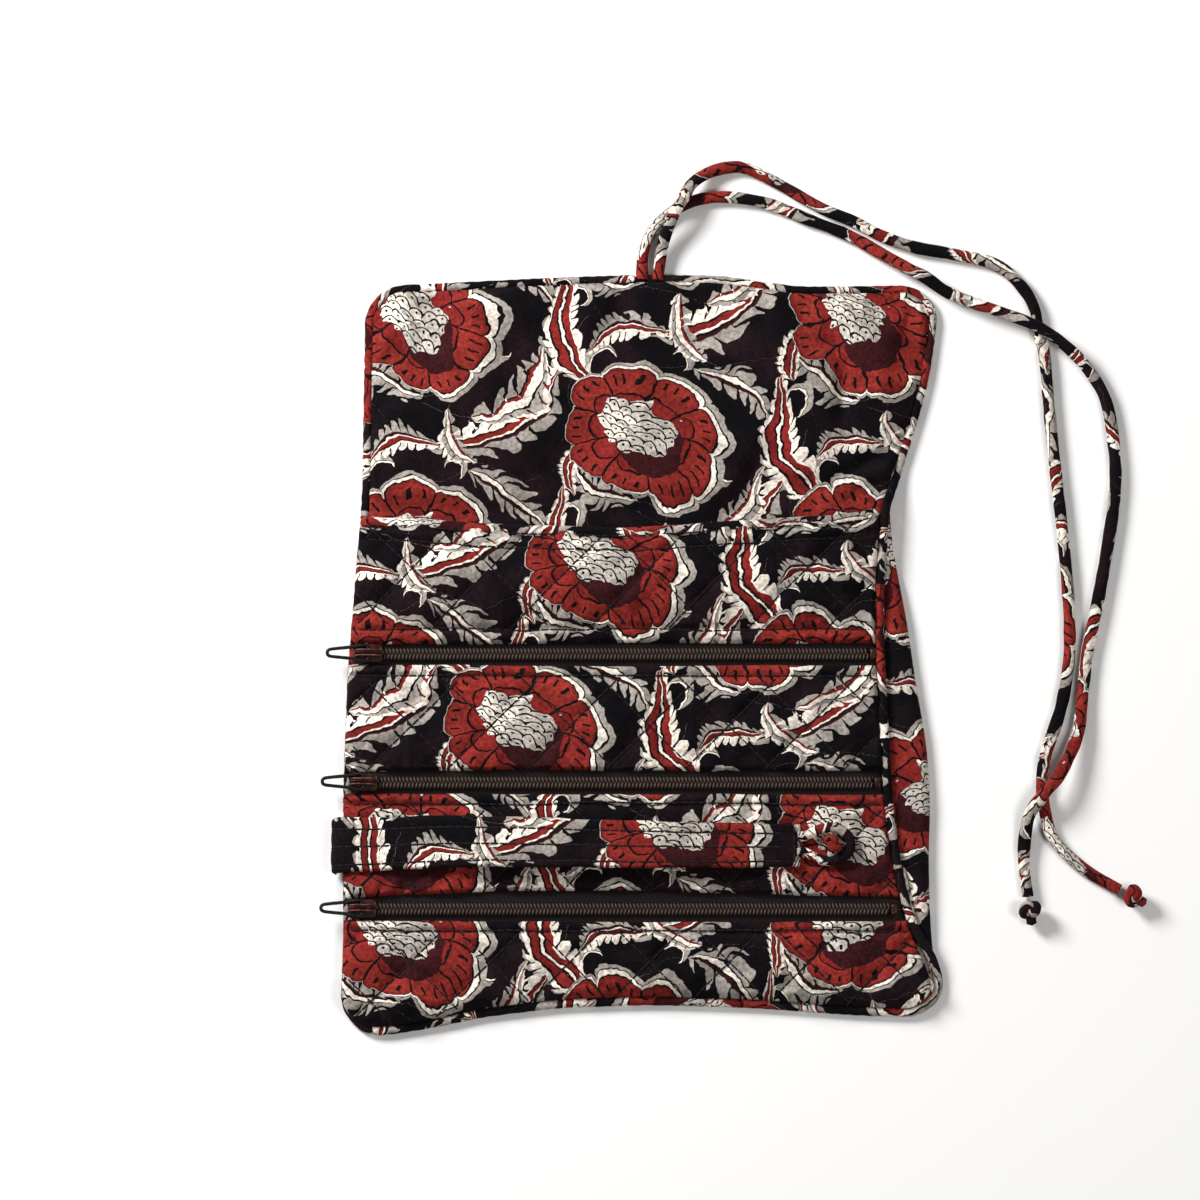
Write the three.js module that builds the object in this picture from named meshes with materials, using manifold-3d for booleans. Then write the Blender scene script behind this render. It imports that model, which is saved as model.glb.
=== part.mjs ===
// Quilted cotton jewelry roll, laid open: a flap with two ties, a slip pocket, three zipped pockets
// and a ring strap. Millimetres, +Z up, +Y towards the tied edge, origin on the table under the middle
// of the open roll.
import * as THREE from 'three';
import { mergeVertices } from 'three/addons/utils/BufferGeometryUtils.js';
import Module from 'manifold-3d';

const wasm = await Module();
wasm.setup();

// Length of each stretch of cloth between its fold lines, from the tied edge down
const flapLength = 73;
const upperLength = 61;
const middleLength = 43;
const ringLength = 42;
const lowerLength = 35;
const foldGap = 0.5;

// Width of the cloth at each fold line, and how far its middle lies to the right of the origin
const tieWidth = 185;
const tieMiddle = 4;
const creaseWidth = 172;
const creaseMiddle = -3;
const zip1Width = 186.5;
const zip1Middle = -0.25;
const zip2Width = 191.5;
const zip2Middle = 1.25;
const zip3Width = 189.5;
const zip3Middle = 0.25;
const bottomWidth = 192;
const bottomMiddle = 0.5;
const flapCorner = 11;
const lowerCorner = 10;

// How far the right-hand seam lies inside the cloth's edge at each fold line, where the padded edge
// rolls out past it
const creaseRoll = 2.2;
const zip1Roll = 12.5;
const zip2Roll = 15;
const zip3Roll = 7;

// Layers of the quilted cloth
const coverThickness = 0.7;
const battingThickness = 2;
const liningThickness = 0.7;
const pocketThickness = 1.6;
const pocketCrown = 0.8;

// Swellings of the filled flap: middle across from the flap's middle and up from the crease,
// half width across and half width up, height
const flapPuffs = [
  [-62, 42, 26, 18, 2.6],
  [-6, 38, 30, 20, 3],
  [44, 46, 17, 18, 2.4],
  [76, 44, 12, 16, 2.2],
  [30, 16, 34, 9, 1.4],
  [-46, 17, 30, 9, 1.4],
];
const puffMargin = 14;

// Piping
const pipingDiameter = 3.2;
const pipingSteps = 72;
const clearance = 0.3;

// Slip pocket
const mouthFromCrease = 11;
const mouthGape = 5;
const gapeRise = 17;
const gapeSide = 30;
const bindingWidth = 2.6;
const bindingLip = 0.5;

// Zips
const zipAboveFold = 7;
const tapeThickness = 0.6;
const tapeWidth = 6.4;
const tapeSlit = 0.6;
const chainWidth = 4.2;
const chainHeight = 1.8;
const chainShoulder = 1.08;
const chainTopWidth = 2.1;
const stopLength = 2.5;
const stopHeight = 2.2;
const facingFromChain = 3.7;

// Zip slider and its wire pull
const sliderLength = 9.6;
const sliderNose = 5.2;
const sliderShoulder = 1.9;
const sliderPlate = 0.9;
const sliderWall = 0.8;
const bridgeLength = 4.4;
const bridgeHeight = 2.2;
const bridgeWidth = 0.9;
const bridgeBar = 0.7;
const pullLength = 14;
const pullWidth = 4.4;
const pullTip = 2.6;
const pullWire = 0.9;

// Ring strap, its loop and the knotted button
const strapFromZip = 21;
const strapLength = 138;
const strapEndWidth = 18;
const strapTipWidth = 14;
const strapThickness = 2.2;
const strapBow = 4.7;
const strapHem = 9;
const strapTurn = 6;
const hemRound = 0.7;
const loopLength = 18;
const loopWidth = 11;
const loopDiameter = 3.4;
const loopNeck = 5.4;
const loopNeckLength = 1.6;
const loopShoulder = 4.9;
const loopBelly = 9.8;
const loopBend = 14.7;
const loopBendWidth = 6.6;
const buttonFromNeck = 10.1;
const buttonDiameter = 6;
const buttonShank = 3;
const buttonHeight = 6;
const shankHeight = 1.8;
const buttonWaist = 3.6;

// Ties
const tieDiameter = 4;
const tieSteps = 40;
const tieLift = 0.1;
const tieCrossGap = 0.6;
const knotLength = 9;
const knotDiameter = 7.6;
const knotShoulder = 0.9;
const knotWaist = 3.6;
const knotNeck = 7.2;
const knotTail = 7.65;

// How finely round and bowed pieces are cut
const curveSteps = 6;
const turnSteps = 4;
const tubeSides = 8;
const knotSides = 10;
const buttonSides = 12;
const loopSteps = 28;
const strapColumns = 20;
const bindingColumns = 32;
const frontColumns = 16;
const frontRows = 8;
const puffColumns = 16;
const puffRows = 6;

// Heights that follow from the layers
const battingBase = coverThickness;
const liningBase = battingBase + battingThickness;
const liningTop = liningBase + liningThickness;
const pocketBase = liningTop + tapeThickness;
const pocketTop = pocketBase + pocketThickness;
const tubeOffset = pipingDiameter / 2 + clearance;

// Fold lines, from the tied edge down
const openLength = flapLength + upperLength + middleLength + ringLength + lowerLength;
const tieY = openLength / 2;
const creaseY = tieY - flapLength;
const zip1FoldY = creaseY - upperLength;
const zip2FoldY = zip1FoldY - middleLength;
const zip3FoldY = zip2FoldY - ringLength;
const bottomY = zip3FoldY - lowerLength;

const tieLine = crossLine(tieY - pipingDiameter - clearance, tieWidth, tieMiddle, 0);
const creaseLine = crossLine(creaseY, creaseWidth, creaseMiddle, creaseRoll);
const zip1Line = crossLine(zip1FoldY, zip1Width, zip1Middle, zip1Roll);
const zip2Line = crossLine(zip2FoldY, zip2Width, zip2Middle, zip2Roll);
const zip3Line = crossLine(zip3FoldY, zip3Width, zip3Middle, zip3Roll);
const bottomLine = crossLine(bottomY + pipingDiameter + clearance, bottomWidth, bottomMiddle, 0);

const printedCotton = material(0x2a1c1f, 0.9, 0);
const printedLining = material(0x5b2a28, 0.9, 0);
const pocketCotton = material(0x4a2526, 0.9, 0);
const cottonBatting = material(0xd9d2c4, 0.95, 0);
const zipTape = material(0x241a18, 0.85, 0);
const nylonCoil = material(0x5f4a39, 0.45, 0);
const lacqueredZinc = material(0x3a2020, 0.3, 0.8);
const blackWire = material(0x17130f, 0.4, 0.8);

// Small helpers
function material(color, roughness, metalness) {
  return new THREE.MeshStandardMaterial({ color, roughness, metalness });
}

function crossLine(y, width, middle, roll) {
  return { y, left: middle - width / 2, right: middle + width / 2, seam: middle + width / 2 - roll };
}

function lineAt(upper, lower, y) {
  const share = (upper.y - y) / (upper.y - lower.y);
  const blend = (key) => THREE.MathUtils.lerp(upper[key], lower[key], share);
  return { y, left: blend('left'), right: blend('right'), seam: blend('seam') };
}

function piece(name, geometry, finish) {
  const mesh = new THREE.Mesh(geometry, finish);
  mesh.name = name;
  return mesh;
}

// A box bent to shape: place gives the point for u across, v down the panel, and top or underside
function shaped(columns, rows, place) {
  const geometry = new THREE.BoxGeometry(1, 1, 1, columns, rows, 1);
  const points = geometry.attributes.position;
  for (let i = 0; i < points.count; i += 1) {
    const onTop = points.getZ(i) > 0;
    points.setXYZ(i, ...place(points.getX(i) + 0.5, 0.5 - points.getY(i), onTop));
  }
  return geometry;
}

function block(x0, x1, y0, y1, z0, z1) {
  const geometry = new THREE.BoxGeometry(x1 - x0, y1 - y0, z1 - z0);
  return geometry.translate((x0 + x1) / 2, (y0 + y1) / 2, (z0 + z1) / 2);
}

function polygon(points) {
  return new THREE.Shape(points.map(([x, y]) => new THREE.Vector2(x, y)));
}

function extruded(shape, depth) {
  return new THREE.ExtrudeGeometry(shape, { depth, bevelEnabled: false, curveSegments: curveSteps });
}

function upright(shape, z0, z1) {
  const geometry = extruded(shape, z1 - z0);
  return geometry.translate(0, 0, z0);
}

// Profile in Y and Z, drawn out along X
function alongX(shape, x0, x1) {
  const geometry = extruded(shape, x1 - x0);
  const turn = new THREE.Matrix4().set(0, 0, 1, x0, 1, 0, 0, 0, 0, 1, 0, 0, 0, 0, 0, 1);
  return geometry.applyMatrix4(turn);
}

// Profile in X and Z, drawn out along Y
function alongY(shape, y0, y1) {
  const geometry = extruded(shape, y1 - y0);
  const turn = new THREE.Matrix4().set(1, 0, 0, 0, 0, 0, -1, y1, 0, 1, 0, 0, 0, 0, 0, 1);
  return geometry.applyMatrix4(turn);
}

function tube(path, diameter, steps) {
  const ring = [];
  for (let i = 0; i < tubeSides; i += 1) {
    const angle = (2 * Math.PI * (i + 0.5)) / tubeSides;
    ring.push([(diameter / 2) * Math.cos(angle), (diameter / 2) * Math.sin(angle)]);
  }
  return new THREE.ExtrudeGeometry(polygon(ring), { steps, bevelEnabled: false, extrudePath: path });
}

function straightTube(from, to, diameter) {
  const path = new THREE.LineCurve3(new THREE.Vector3(...from), new THREE.Vector3(...to));
  return tube(path, diameter, 1);
}

function solid(geometry) {
  const bare = geometry.clone();
  bare.deleteAttribute('normal');
  bare.deleteAttribute('uv');
  const merged = mergeVertices(bare);
  const vertProperties = merged.attributes.position.array;
  const triVerts = Uint32Array.from(merged.index.array);
  return new wasm.Manifold(new wasm.Mesh({ numProp: 3, vertProperties, triVerts }));
}

function geometryOf(body) {
  const mesh = body.getMesh();
  const geometry = new THREE.BufferGeometry();
  geometry.setAttribute('position', new THREE.BufferAttribute(mesh.vertProperties, 3));
  geometry.setIndex(new THREE.BufferAttribute(mesh.triVerts, 1));
  geometry.computeVertexNormals();
  return geometry;
}

// A rounded end of the cloth: straight sides from the fold line, two rounded corners at the far edge
function roundedEnd(fold, foldY, far, corner) {
  const way = Math.sign(far.y - foldY);
  const shape = new THREE.Shape();
  shape.moveTo(fold.left, foldY);
  shape.lineTo(far.left, far.y - way * corner);
  shape.quadraticCurveTo(far.left, far.y, far.left + corner, far.y);
  shape.lineTo(far.right - corner, far.y);
  shape.quadraticCurveTo(far.right, far.y, far.right, far.y - way * corner);
  shape.lineTo(fold.right, foldY);
  return shape;
}

// Piping round a rounded end, just outside the cloth and resting beside it
function pipingRound(fold, foldY, far, corner) {
  const way = Math.sign(far.y - foldY);
  const wide = corner + tubeOffset;
  const left = far.left - tubeOffset;
  const right = far.right + tubeOffset;
  const y = far.y + way * tubeOffset;
  const z = pipingDiameter / 2;
  const at = (x, py) => new THREE.Vector3(x, py, z);
  const path = new THREE.CurvePath();
  path.add(new THREE.LineCurve3(at(fold.left - tubeOffset, foldY), at(left, y - way * wide)));
  path.add(new THREE.QuadraticBezierCurve3(at(left, y - way * wide), at(left, y), at(left + wide, y)));
  path.add(new THREE.LineCurve3(at(left + wide, y), at(right - wide, y)));
  path.add(new THREE.QuadraticBezierCurve3(at(right - wide, y), at(right, y), at(right, y - way * wide)));
  path.add(new THREE.LineCurve3(at(right, y - way * wide), at(fold.right + tubeOffset, foldY)));
  return tube(path, pipingDiameter, pipingSteps);
}

const layers = [
  ['cover', 0, battingBase, printedCotton],
  ['batting', battingBase, liningBase, cottonBatting],
  ['lining', liningBase, liningTop, printedLining],
];

const flatLayers = layers.slice(0, 2);

// Cover, batting and lining of a stretch of cloth between two fold lines
function clothBetween(name, upper, lower) {
  const top = lineAt(upper, lower, upper.y - foldGap / 2);
  const bottom = lineAt(upper, lower, lower.y + foldGap / 2);
  return layers.map(([layer, base, height, finish]) => {
    const place = (u, v, onTop) => {
      const line = v < 0.5 ? top : bottom;
      return [THREE.MathUtils.lerp(line.left, line.right, u), line.y, onTop ? height : base];
    };
    return piece(`${name}_${layer}`, shaped(1, 1, place), finish);
  });
}

// Layers of a stretch that ends in two rounded corners
function clothToEdge(name, sheets, fold, foldY, far, corner) {
  const outline = roundedEnd(fold, foldY, far, corner);
  return sheets.map(([layer, base, height, finish]) => (
    piece(`${name}_${layer}`, upright(outline, base, height), finish)
  ));
}

// Height of the flap's swellings, which die away towards its seams and its crease
function flapSwell(line, x, y) {
  const middle = (line.left + line.right) / 2;
  const inside = Math.min(x - line.left, line.right - x, tieLine.y - y, y - creaseLine.y);
  const rise = flapPuffs.reduce((sum, [across, up, wide, tall, height]) => {
    const dx = (x - middle - across) / wide;
    const dy = (y - creaseY - up) / tall;
    return sum + height * Math.exp(-dx * dx - dy * dy);
  }, 0);
  return rise * THREE.MathUtils.smoothstep(inside, 0, puffMargin);
}

// Lining of the flap: a swelling sheet, cut to the flap's outline
function flapLining(foldY) {
  const reach = tieLine.y - foldY;
  const swelling = (u, v, onTop) => {
    const y = tieLine.y + clearance - v * (reach + 2 * clearance);
    const line = lineAt(tieLine, creaseLine, y);
    const x = THREE.MathUtils.lerp(line.left - flapCorner, line.right + flapCorner, u);
    return [x, y, onTop ? liningTop + flapSwell(line, x, y) : battingBase];
  };
  const outline = upright(roundedEnd(creaseLine, foldY, tieLine, flapCorner), liningBase, liningBase + reach);
  return geometryOf(solid(shaped(puffColumns, puffRows, swelling)).intersect(solid(outline)));
}

// Left piping lies beside the cloth, right piping lies on it along the seam
function sidePiping(name, upper, lower) {
  const top = lineAt(upper, lower, upper.y - foldGap / 2);
  const bottom = lineAt(upper, lower, lower.y + foldGap / 2);
  const low = pipingDiameter / 2;
  const high = liningTop + clearance / 2 + pipingDiameter / 2;
  const beside = (line) => [line.left - tubeOffset, line.y, low];
  const onSeam = (line) => [line.seam, line.y, high];
  const left = straightTube(beside(top), beside(bottom), pipingDiameter);
  const right = straightTube(onSeam(top), onSeam(bottom), pipingDiameter);
  return [
    piece(`${name}_piping_left`, left, printedCotton),
    piece(`${name}_piping_right`, right, printedCotton),
  ];
}

// A pocket front from topY to bottomY: crowned in the middle, thin at its seams, lifted by gape
function pocketFront(name, upper, lower, topY, bottomY, rightEdge, gape) {
  const place = (u, v, onTop) => {
    const y = THREE.MathUtils.lerp(topY, bottomY, v);
    const line = lineAt(upper, lower, y);
    const left = line.left;
    const x = THREE.MathUtils.lerp(left, rightEdge(line), u);
    const crown = pocketCrown * Math.sqrt(Math.sin(Math.PI * u) * Math.sin(Math.PI * v));
    const lift = gape(x - left, rightEdge(line) - x, y);
    return [x, y, pocketBase + lift + (onTop ? pocketThickness + crown : 0)];
  };
  return piece(name, shaped(frontColumns, frontRows, place), pocketCotton);
}

const besideSeam = (line) => line.seam - tubeOffset;
const besideEdge = (line) => line.right;
const noGape = () => 0;

// A zip between two fold lines: tapes, chain, end stop and the facing strip on its lower side
function zip(index, upper, lower, zipY) {
  const line = lineAt(upper, lower, zipY);
  const left = line.left;
  const right = besideSeam(line) - clearance;
  const stopLeft = right - stopLength;
  const chainRight = stopLeft - clearance;
  const chainTop = pocketBase + chainHeight;
  const half = chainWidth / 2;
  const ridge = chainTopWidth / 2;
  const chain = polygon([
    [-half, pocketBase],
    [half, pocketBase],
    [half, pocketBase + chainShoulder],
    [ridge, chainTop],
    [-ridge, chainTop],
    [-half, pocketBase + chainShoulder],
  ]);
  const foldY = lower.y + foldGap / 2 - zipY;
  const facing = (u, v, onTop) => {
    const y = v < 0.5 ? -facingFromChain : foldY;
    const end = lineAt(upper, lower, zipY + y);
    return [THREE.MathUtils.lerp(end.left, besideSeam(end), u), y, onTop ? pocketTop : pocketBase];
  };
  const slit = tapeSlit / 2;
  const tapeLow = Math.max(-tapeWidth - slit, foldY);
  const tapeUpper = block(left, right, slit, tapeWidth + slit, liningTop, pocketBase);
  const tapeLower = block(left, right, tapeLow, -slit, liningTop, pocketBase);
  const stop = block(stopLeft, right, -half, half, pocketBase, pocketBase + stopHeight);
  const group = new THREE.Group();
  group.position.y = zipY;
  group.add(
    piece(`zip_${index}_tape_upper`, tapeUpper, zipTape),
    piece(`zip_${index}_tape_lower`, tapeLower, zipTape),
    piece(`zip_${index}_chain`, alongX(chain, left, chainRight), nylonCoil),
    piece(`zip_${index}_stop`, stop, lacqueredZinc),
    piece(`zip_${index}_facing`, shaped(1, 1, facing), pocketCotton),
    slider(index, left + sliderLength / 2 - tubeOffset),
  );
  return group;
}

// Slider: a channel over the chain with a bridge on top, and the wire pull hooked through the bridge
function slider(index, x) {
  const inside = chainWidth / 2 + clearance;
  const outside = inside + sliderWall;
  const foot = pocketBase + clearance;
  const ceiling = pocketBase + chainHeight + clearance;
  const roof = ceiling + sliderPlate;
  const channel = polygon([
    [-outside, foot],
    [-inside, foot],
    [-inside, ceiling],
    [inside, ceiling],
    [inside, foot],
    [outside, foot],
    [outside, roof],
    [-outside, roof],
  ]);
  const end = sliderLength / 2;
  const nose = sliderNose / 2;
  const plan = polygon([
    [-end, -outside],
    [sliderShoulder, -outside],
    [end, -nose],
    [end, nose],
    [sliderShoulder, outside],
    [-end, outside],
  ]);
  const span = bridgeLength / 2;
  const inner = span - bridgeBar;
  const bridgeTop = roof + bridgeHeight;
  const sunk = roof - sliderPlate / 2;
  const arch = polygon([
    [-span, sunk],
    [-inner, sunk],
    [-inner, bridgeTop - bridgeBar],
    [inner, bridgeTop - bridgeBar],
    [inner, sunk],
    [span, sunk],
    [span, bridgeTop],
    [-span, bridgeTop],
  ]);
  const bridge = alongY(arch, -bridgeWidth / 2, bridgeWidth / 2);
  const outline = solid(upright(plan, 0, bridgeTop));
  const body = solid(alongX(channel, -end, end)).intersect(outline).add(solid(bridge));
  const group = new THREE.Group();
  group.position.x = x;
  const pinHeight = (roof + bridgeTop - bridgeBar) / 2;
  group.add(piece(`zip_${index}_slider`, geometryOf(body), lacqueredZinc), pull(index, pinHeight));
  return group;
}

// Pull: a flat wire loop that tapers to its tip, its straight end lying in the bridge
function pull(index, height) {
  const root = pullWire / 2;
  const tip = root - pullLength;
  const wide = pullWidth / 2;
  const narrow = pullTip / 2;
  const shape = new THREE.Shape();
  shape.moveTo(root, -wide);
  shape.lineTo(root, wide);
  shape.lineTo(tip + narrow, narrow);
  shape.quadraticCurveTo(tip, narrow, tip, 0);
  shape.quadraticCurveTo(tip, -narrow, tip + narrow, -narrow);
  const eye = polygon([
    [root - pullWire, wide - pullWire],
    [root - pullWire, pullWire - wide],
    [tip + narrow, (pullWire - pullTip) / 4],
    [tip + narrow, (pullTip - pullWire) / 4],
  ]);
  shape.holes.push(eye);
  return piece(`zip_${index}_pull`, upright(shape, height - pullWire / 2, height + pullWire / 2), blackWire);
}

// Slip pocket: its front stands open at the mouth and is sewn down at its sides and foot
function slipPocket(upper, lower, zipY) {
  const mouthY = upper.y - mouthFromCrease;
  const footY = zipY + facingFromChain;
  const ease = (distance, reach) => THREE.MathUtils.smoothstep(distance, 0, reach);
  const gape = (fromLeft, fromRight, y) => (
    mouthGape * ease(fromLeft, gapeSide) * ease(fromRight, gapeSide) * ease(y - footY, gapeRise)
  );
  const frontY = mouthY - bindingWidth - clearance;
  const line = lineAt(upper, lower, mouthY);
  const right = besideSeam(line);
  const binding = (u, v, onTop) => {
    const x = THREE.MathUtils.lerp(line.left, right, u);
    const lift = gape(x - line.left, right - x, mouthY);
    const y = v < 0.5 ? mouthY : mouthY - bindingWidth;
    return [x, y, pocketBase + lift + (onTop ? pocketThickness + bindingLip : 0)];
  };
  return [
    pocketFront('slip_pocket_panel', upper, lower, frontY, footY, besideSeam, gape),
    piece('slip_pocket_binding', shaped(bindingColumns, 1, binding), printedCotton),
  ];
}

// Ring strap: sewn at the left edge, bowed over the panel, with a loop that hooks on a knotted button
function ringStrap(upper, lower, strapY) {
  const line = lineAt(upper, lower, strapY);
  const seat = pocketTop + pocketCrown + clearance;
  const top = seat + strapThickness;
  const hemLeft = line.left - tubeOffset * 2 - clearance;
  const hemRight = line.left + strapHem;
  const hem = polygon([
    [hemRight, seat],
    [hemLeft, seat],
    [hemLeft, seat - strapTurn],
    [hemLeft - strapThickness, seat - strapTurn],
    [hemLeft - strapThickness, top - hemRound],
    [hemLeft - strapThickness + hemRound, top],
    [hemRight, top],
  ]);
  const strapLeft = hemRight + clearance;
  const strapRight = strapLeft + strapLength;
  const strap = (u, v, onTop) => {
    const width = THREE.MathUtils.lerp(strapEndWidth, strapTipWidth, u);
    const bow = strapBow * (1 - (2 * u - 1) ** 4);
    const x = THREE.MathUtils.lerp(strapLeft, strapRight, u);
    return [x, (0.5 - v) * width, seat + bow + (onTop ? strapThickness : 0)];
  };
  const loopLeft = strapRight + clearance;
  const loopZ = seat + loopDiameter / 2;
  const side = loopWidth / 2;
  const neck = loopNeck / 2;
  const at = (along, y) => new THREE.Vector3(loopLeft + along, y, loopZ);
  const half = [
    at(0, neck),
    at(loopNeckLength, neck),
    at(loopShoulder, (side + neck) / 2),
    at(loopBelly, side),
    at(loopBend, loopBendWidth / 2),
  ];
  const tip = at(loopLength - loopDiameter / 2, 0);
  const back = half.map((point) => new THREE.Vector3(point.x, -point.y, point.z)).reverse();
  const loop = new THREE.CatmullRomCurve3([...half, tip, ...back], false, 'centripetal');
  const group = new THREE.Group();
  group.position.y = strapY;
  const button = piece('knot_button', knotButton(seat), printedCotton);
  button.position.x = loopLeft + buttonFromNeck;
  group.add(
    piece('ring_strap_anchor', alongY(hem, -strapEndWidth / 2, strapEndWidth / 2), printedCotton),
    piece('ring_strap', shaped(strapColumns, 1, strap), printedCotton),
    piece('ring_strap_loop', tube(loop, loopDiameter, loopSteps), printedCotton),
    button,
  );
  return group;
}

// Knotted button: a short shank under a round knot
function knotButton(base) {
  const shank = buttonShank / 2;
  const half = buttonDiameter / 2;
  const knot = new THREE.Path();
  knot.moveTo(0, base);
  knot.lineTo(shank, base);
  knot.lineTo(shank, base + shankHeight);
  knot.quadraticCurveTo(half, base + shankHeight, half, base + buttonWaist);
  knot.quadraticCurveTo(half, base + buttonHeight, shank, base + buttonHeight);
  knot.lineTo(0, base + buttonHeight);
  return new THREE.LatheGeometry(knot.getPoints(turnSteps), buttonSides).rotateX(Math.PI / 2);
}

// Ties: each route is a list of [x, y, z], lying on the table and passing over the other tie
// and the flap's corner
const tieRest = tieDiameter / 2 + tieLift;
const tieOver = tieRest + tieDiameter + tieCrossGap;
const tieOnCorner = pipingDiameter + tieDiameter / 2 + tieCrossGap;
const leftTieRoute = [
  [0.7, tieY + clearance, tieRest],
  [1.3, 137.2, tieRest],
  [4, 144, tieRest],
  [13.5, 152.4, tieRest],
  [24, 155.6, tieRest],
  [40, 154.2, tieRest],
  [57, 147.8, tieRest],
  [70.3, 142.3, 2.4],
  [80, 136.5, 3.2],
  [88.5, 131.2, 4.8],
  [95, 127.6, tieOnCorner],
  [102, 122.8, 5],
  [110, 119.2, 5.2],
  [121, 115.2, 6.2],
  [133.2, 110, tieOver],
  [143.5, 102.6, 5.4],
  [151, 94.3, 3],
  [155.6, 85.1, tieRest],
  [158.2, 63, tieRest],
  [157.5, 51.4, tieRest],
  [155.8, 39.8, tieRest],
  [151.5, 16.7, tieRest],
  [148, 0.7, tieRest],
  [146.4, -13, tieRest],
  [144.4, -26.9, 3.4],
  [138.2, -40.5, 6],
  [133.6, -46.4, tieOver],
  [128.6, -53, 5],
  [126.9, -60, 2.8],
  [126.4, -70, tieRest],
  [127.6, -80.4, tieRest],
];
const rightTieRoute = [
  [6, tieY + clearance, tieRest],
  [7.7, 138.9, 3.8],
  [11.7, 149.5, tieOver],
  [14.7, 154.6, tieOver],
  [17.5, 159.5, 5.4],
  [23, 163.8, 3],
  [29.3, 165.8, tieRest],
  [34.6, 165.8, tieRest],
  [44.3, 161.4, tieRest],
  [61.8, 151.4, tieRest],
  [71, 147.6, tieRest],
  [80.9, 142.4, tieRest],
  [91.6, 138.6, tieRest],
  [104.2, 136.2, tieRest],
  [119.9, 132.1, tieRest],
  [128.9, 123.3, tieRest],
  [131.9, 117.1, tieRest],
  [132.9, 111, tieRest],
  [134.9, 102.2, tieRest],
  [136.2, 85.1, tieRest],
  [138.2, 63, tieRest],
  [140.5, 39.8, tieRest],
  [142.2, 15.3, tieRest],
  [142, -1.7, tieRest],
  [139.2, -17.4, tieRest],
  [134.2, -32.7, tieRest],
  [132.6, -42, tieRest],
  [133.5, -52.1, tieRest],
  [136, -60.9, tieRest],
  [145.5, -70.8, tieRest],
  [157.8, -78.3, tieRest],
];

function tie(name, route) {
  const points = route.map((point) => new THREE.Vector3(...point));
  const path = new THREE.CatmullRomCurve3(points, false, 'centripetal');
  const end = path.getPoint(1);
  const heading = path.getTangent(1);
  const knot = piece(`${name}_knot`, tieKnot(), printedCotton);
  knot.quaternion.setFromUnitVectors(new THREE.Vector3(0, 1, 0), heading.setZ(0).normalize());
  knot.position.copy(end).addScaledVector(heading, clearance).setZ(knotDiameter / 2 + tieLift);
  return [piece(name, tube(path, tieDiameter, tieSteps), printedCotton), knot];
}

// End knot: a fat turn of the tie with its short tail
function tieKnot() {
  const half = knotDiameter / 2;
  const knot = new THREE.Path();
  knot.moveTo(0, 0);
  knot.lineTo(tieDiameter / 2, 0);
  knot.quadraticCurveTo(half, knotShoulder, half, knotWaist);
  knot.quadraticCurveTo(half, knotNeck, tieDiameter / 2, knotTail);
  knot.lineTo(tieDiameter / 2, knotLength);
  knot.lineTo(0, knotLength);
  return new THREE.LatheGeometry(knot.getPoints(turnSteps), knotSides);
}

// The bodies of the roll, one group for each
const flapFoldY = creaseY + foldGap / 2;
const flap = new THREE.Group();
flap.add(
  ...clothToEdge('flap', flatLayers, creaseLine, flapFoldY, tieLine, flapCorner),
  piece('flap_lining', flapLining(flapFoldY), printedLining),
  piece('flap_piping', pipingRound(creaseLine, flapFoldY, tieLine, flapCorner), printedCotton),
  ...tie('tie_left', leftTieRoute),
  ...tie('tie_right', rightTieRoute),
);

const zip1Y = zip1FoldY + zipAboveFold;
const zip2Y = zip2FoldY + zipAboveFold;
const zip3Y = zip3FoldY + zipAboveFold;

const upperPanel = new THREE.Group();
upperPanel.add(
  ...clothBetween('upper', creaseLine, zip1Line),
  ...sidePiping('upper', creaseLine, zip1Line),
  ...slipPocket(creaseLine, zip1Line, zip1Y),
  zip(1, creaseLine, zip1Line, zip1Y),
);

const middleTopY = zip1FoldY - foldGap / 2;
const middleEndY = zip2Y + facingFromChain;
const middlePanel = new THREE.Group();
middlePanel.add(
  ...clothBetween('middle', zip1Line, zip2Line),
  ...sidePiping('middle', zip1Line, zip2Line),
  pocketFront('middle_pocket_panel', zip1Line, zip2Line, middleTopY, middleEndY, besideSeam, noGape),
  zip(2, zip1Line, zip2Line, zip2Y),
);

const ringTopY = zip2FoldY - foldGap / 2;
const ringEndY = zip3Y + facingFromChain;
const ringPanel = new THREE.Group();
ringPanel.add(
  ...clothBetween('ring', zip2Line, zip3Line),
  ...sidePiping('ring', zip2Line, zip3Line),
  pocketFront('ring_pocket_panel', zip2Line, zip3Line, ringTopY, ringEndY, besideSeam, noGape),
  zip(3, zip2Line, zip3Line, zip3Y),
  ringStrap(zip2Line, zip3Line, zip3Y + strapFromZip),
);

const lowerTopY = zip3FoldY - foldGap / 2;
const lowerEndY = bottomLine.y + lowerCorner / 2;
const lowerPanel = new THREE.Group();
lowerPanel.add(
  ...clothToEdge('lower', layers, zip3Line, lowerTopY, bottomLine, lowerCorner),
  piece('lower_piping', pipingRound(zip3Line, lowerTopY, bottomLine, lowerCorner), printedCotton),
  pocketFront('lower_pocket_panel', zip3Line, bottomLine, lowerTopY, lowerEndY, besideEdge, noGape),
);

const jewelryRoll = new THREE.Group();
jewelryRoll.add(flap, upperPanel, middlePanel, ringPanel, lowerPanel);

export default jewelryRoll;
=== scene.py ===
import math
import bpy
import numpy as np
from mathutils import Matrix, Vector
from mathutils.bvhtree import BVHTree


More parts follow.
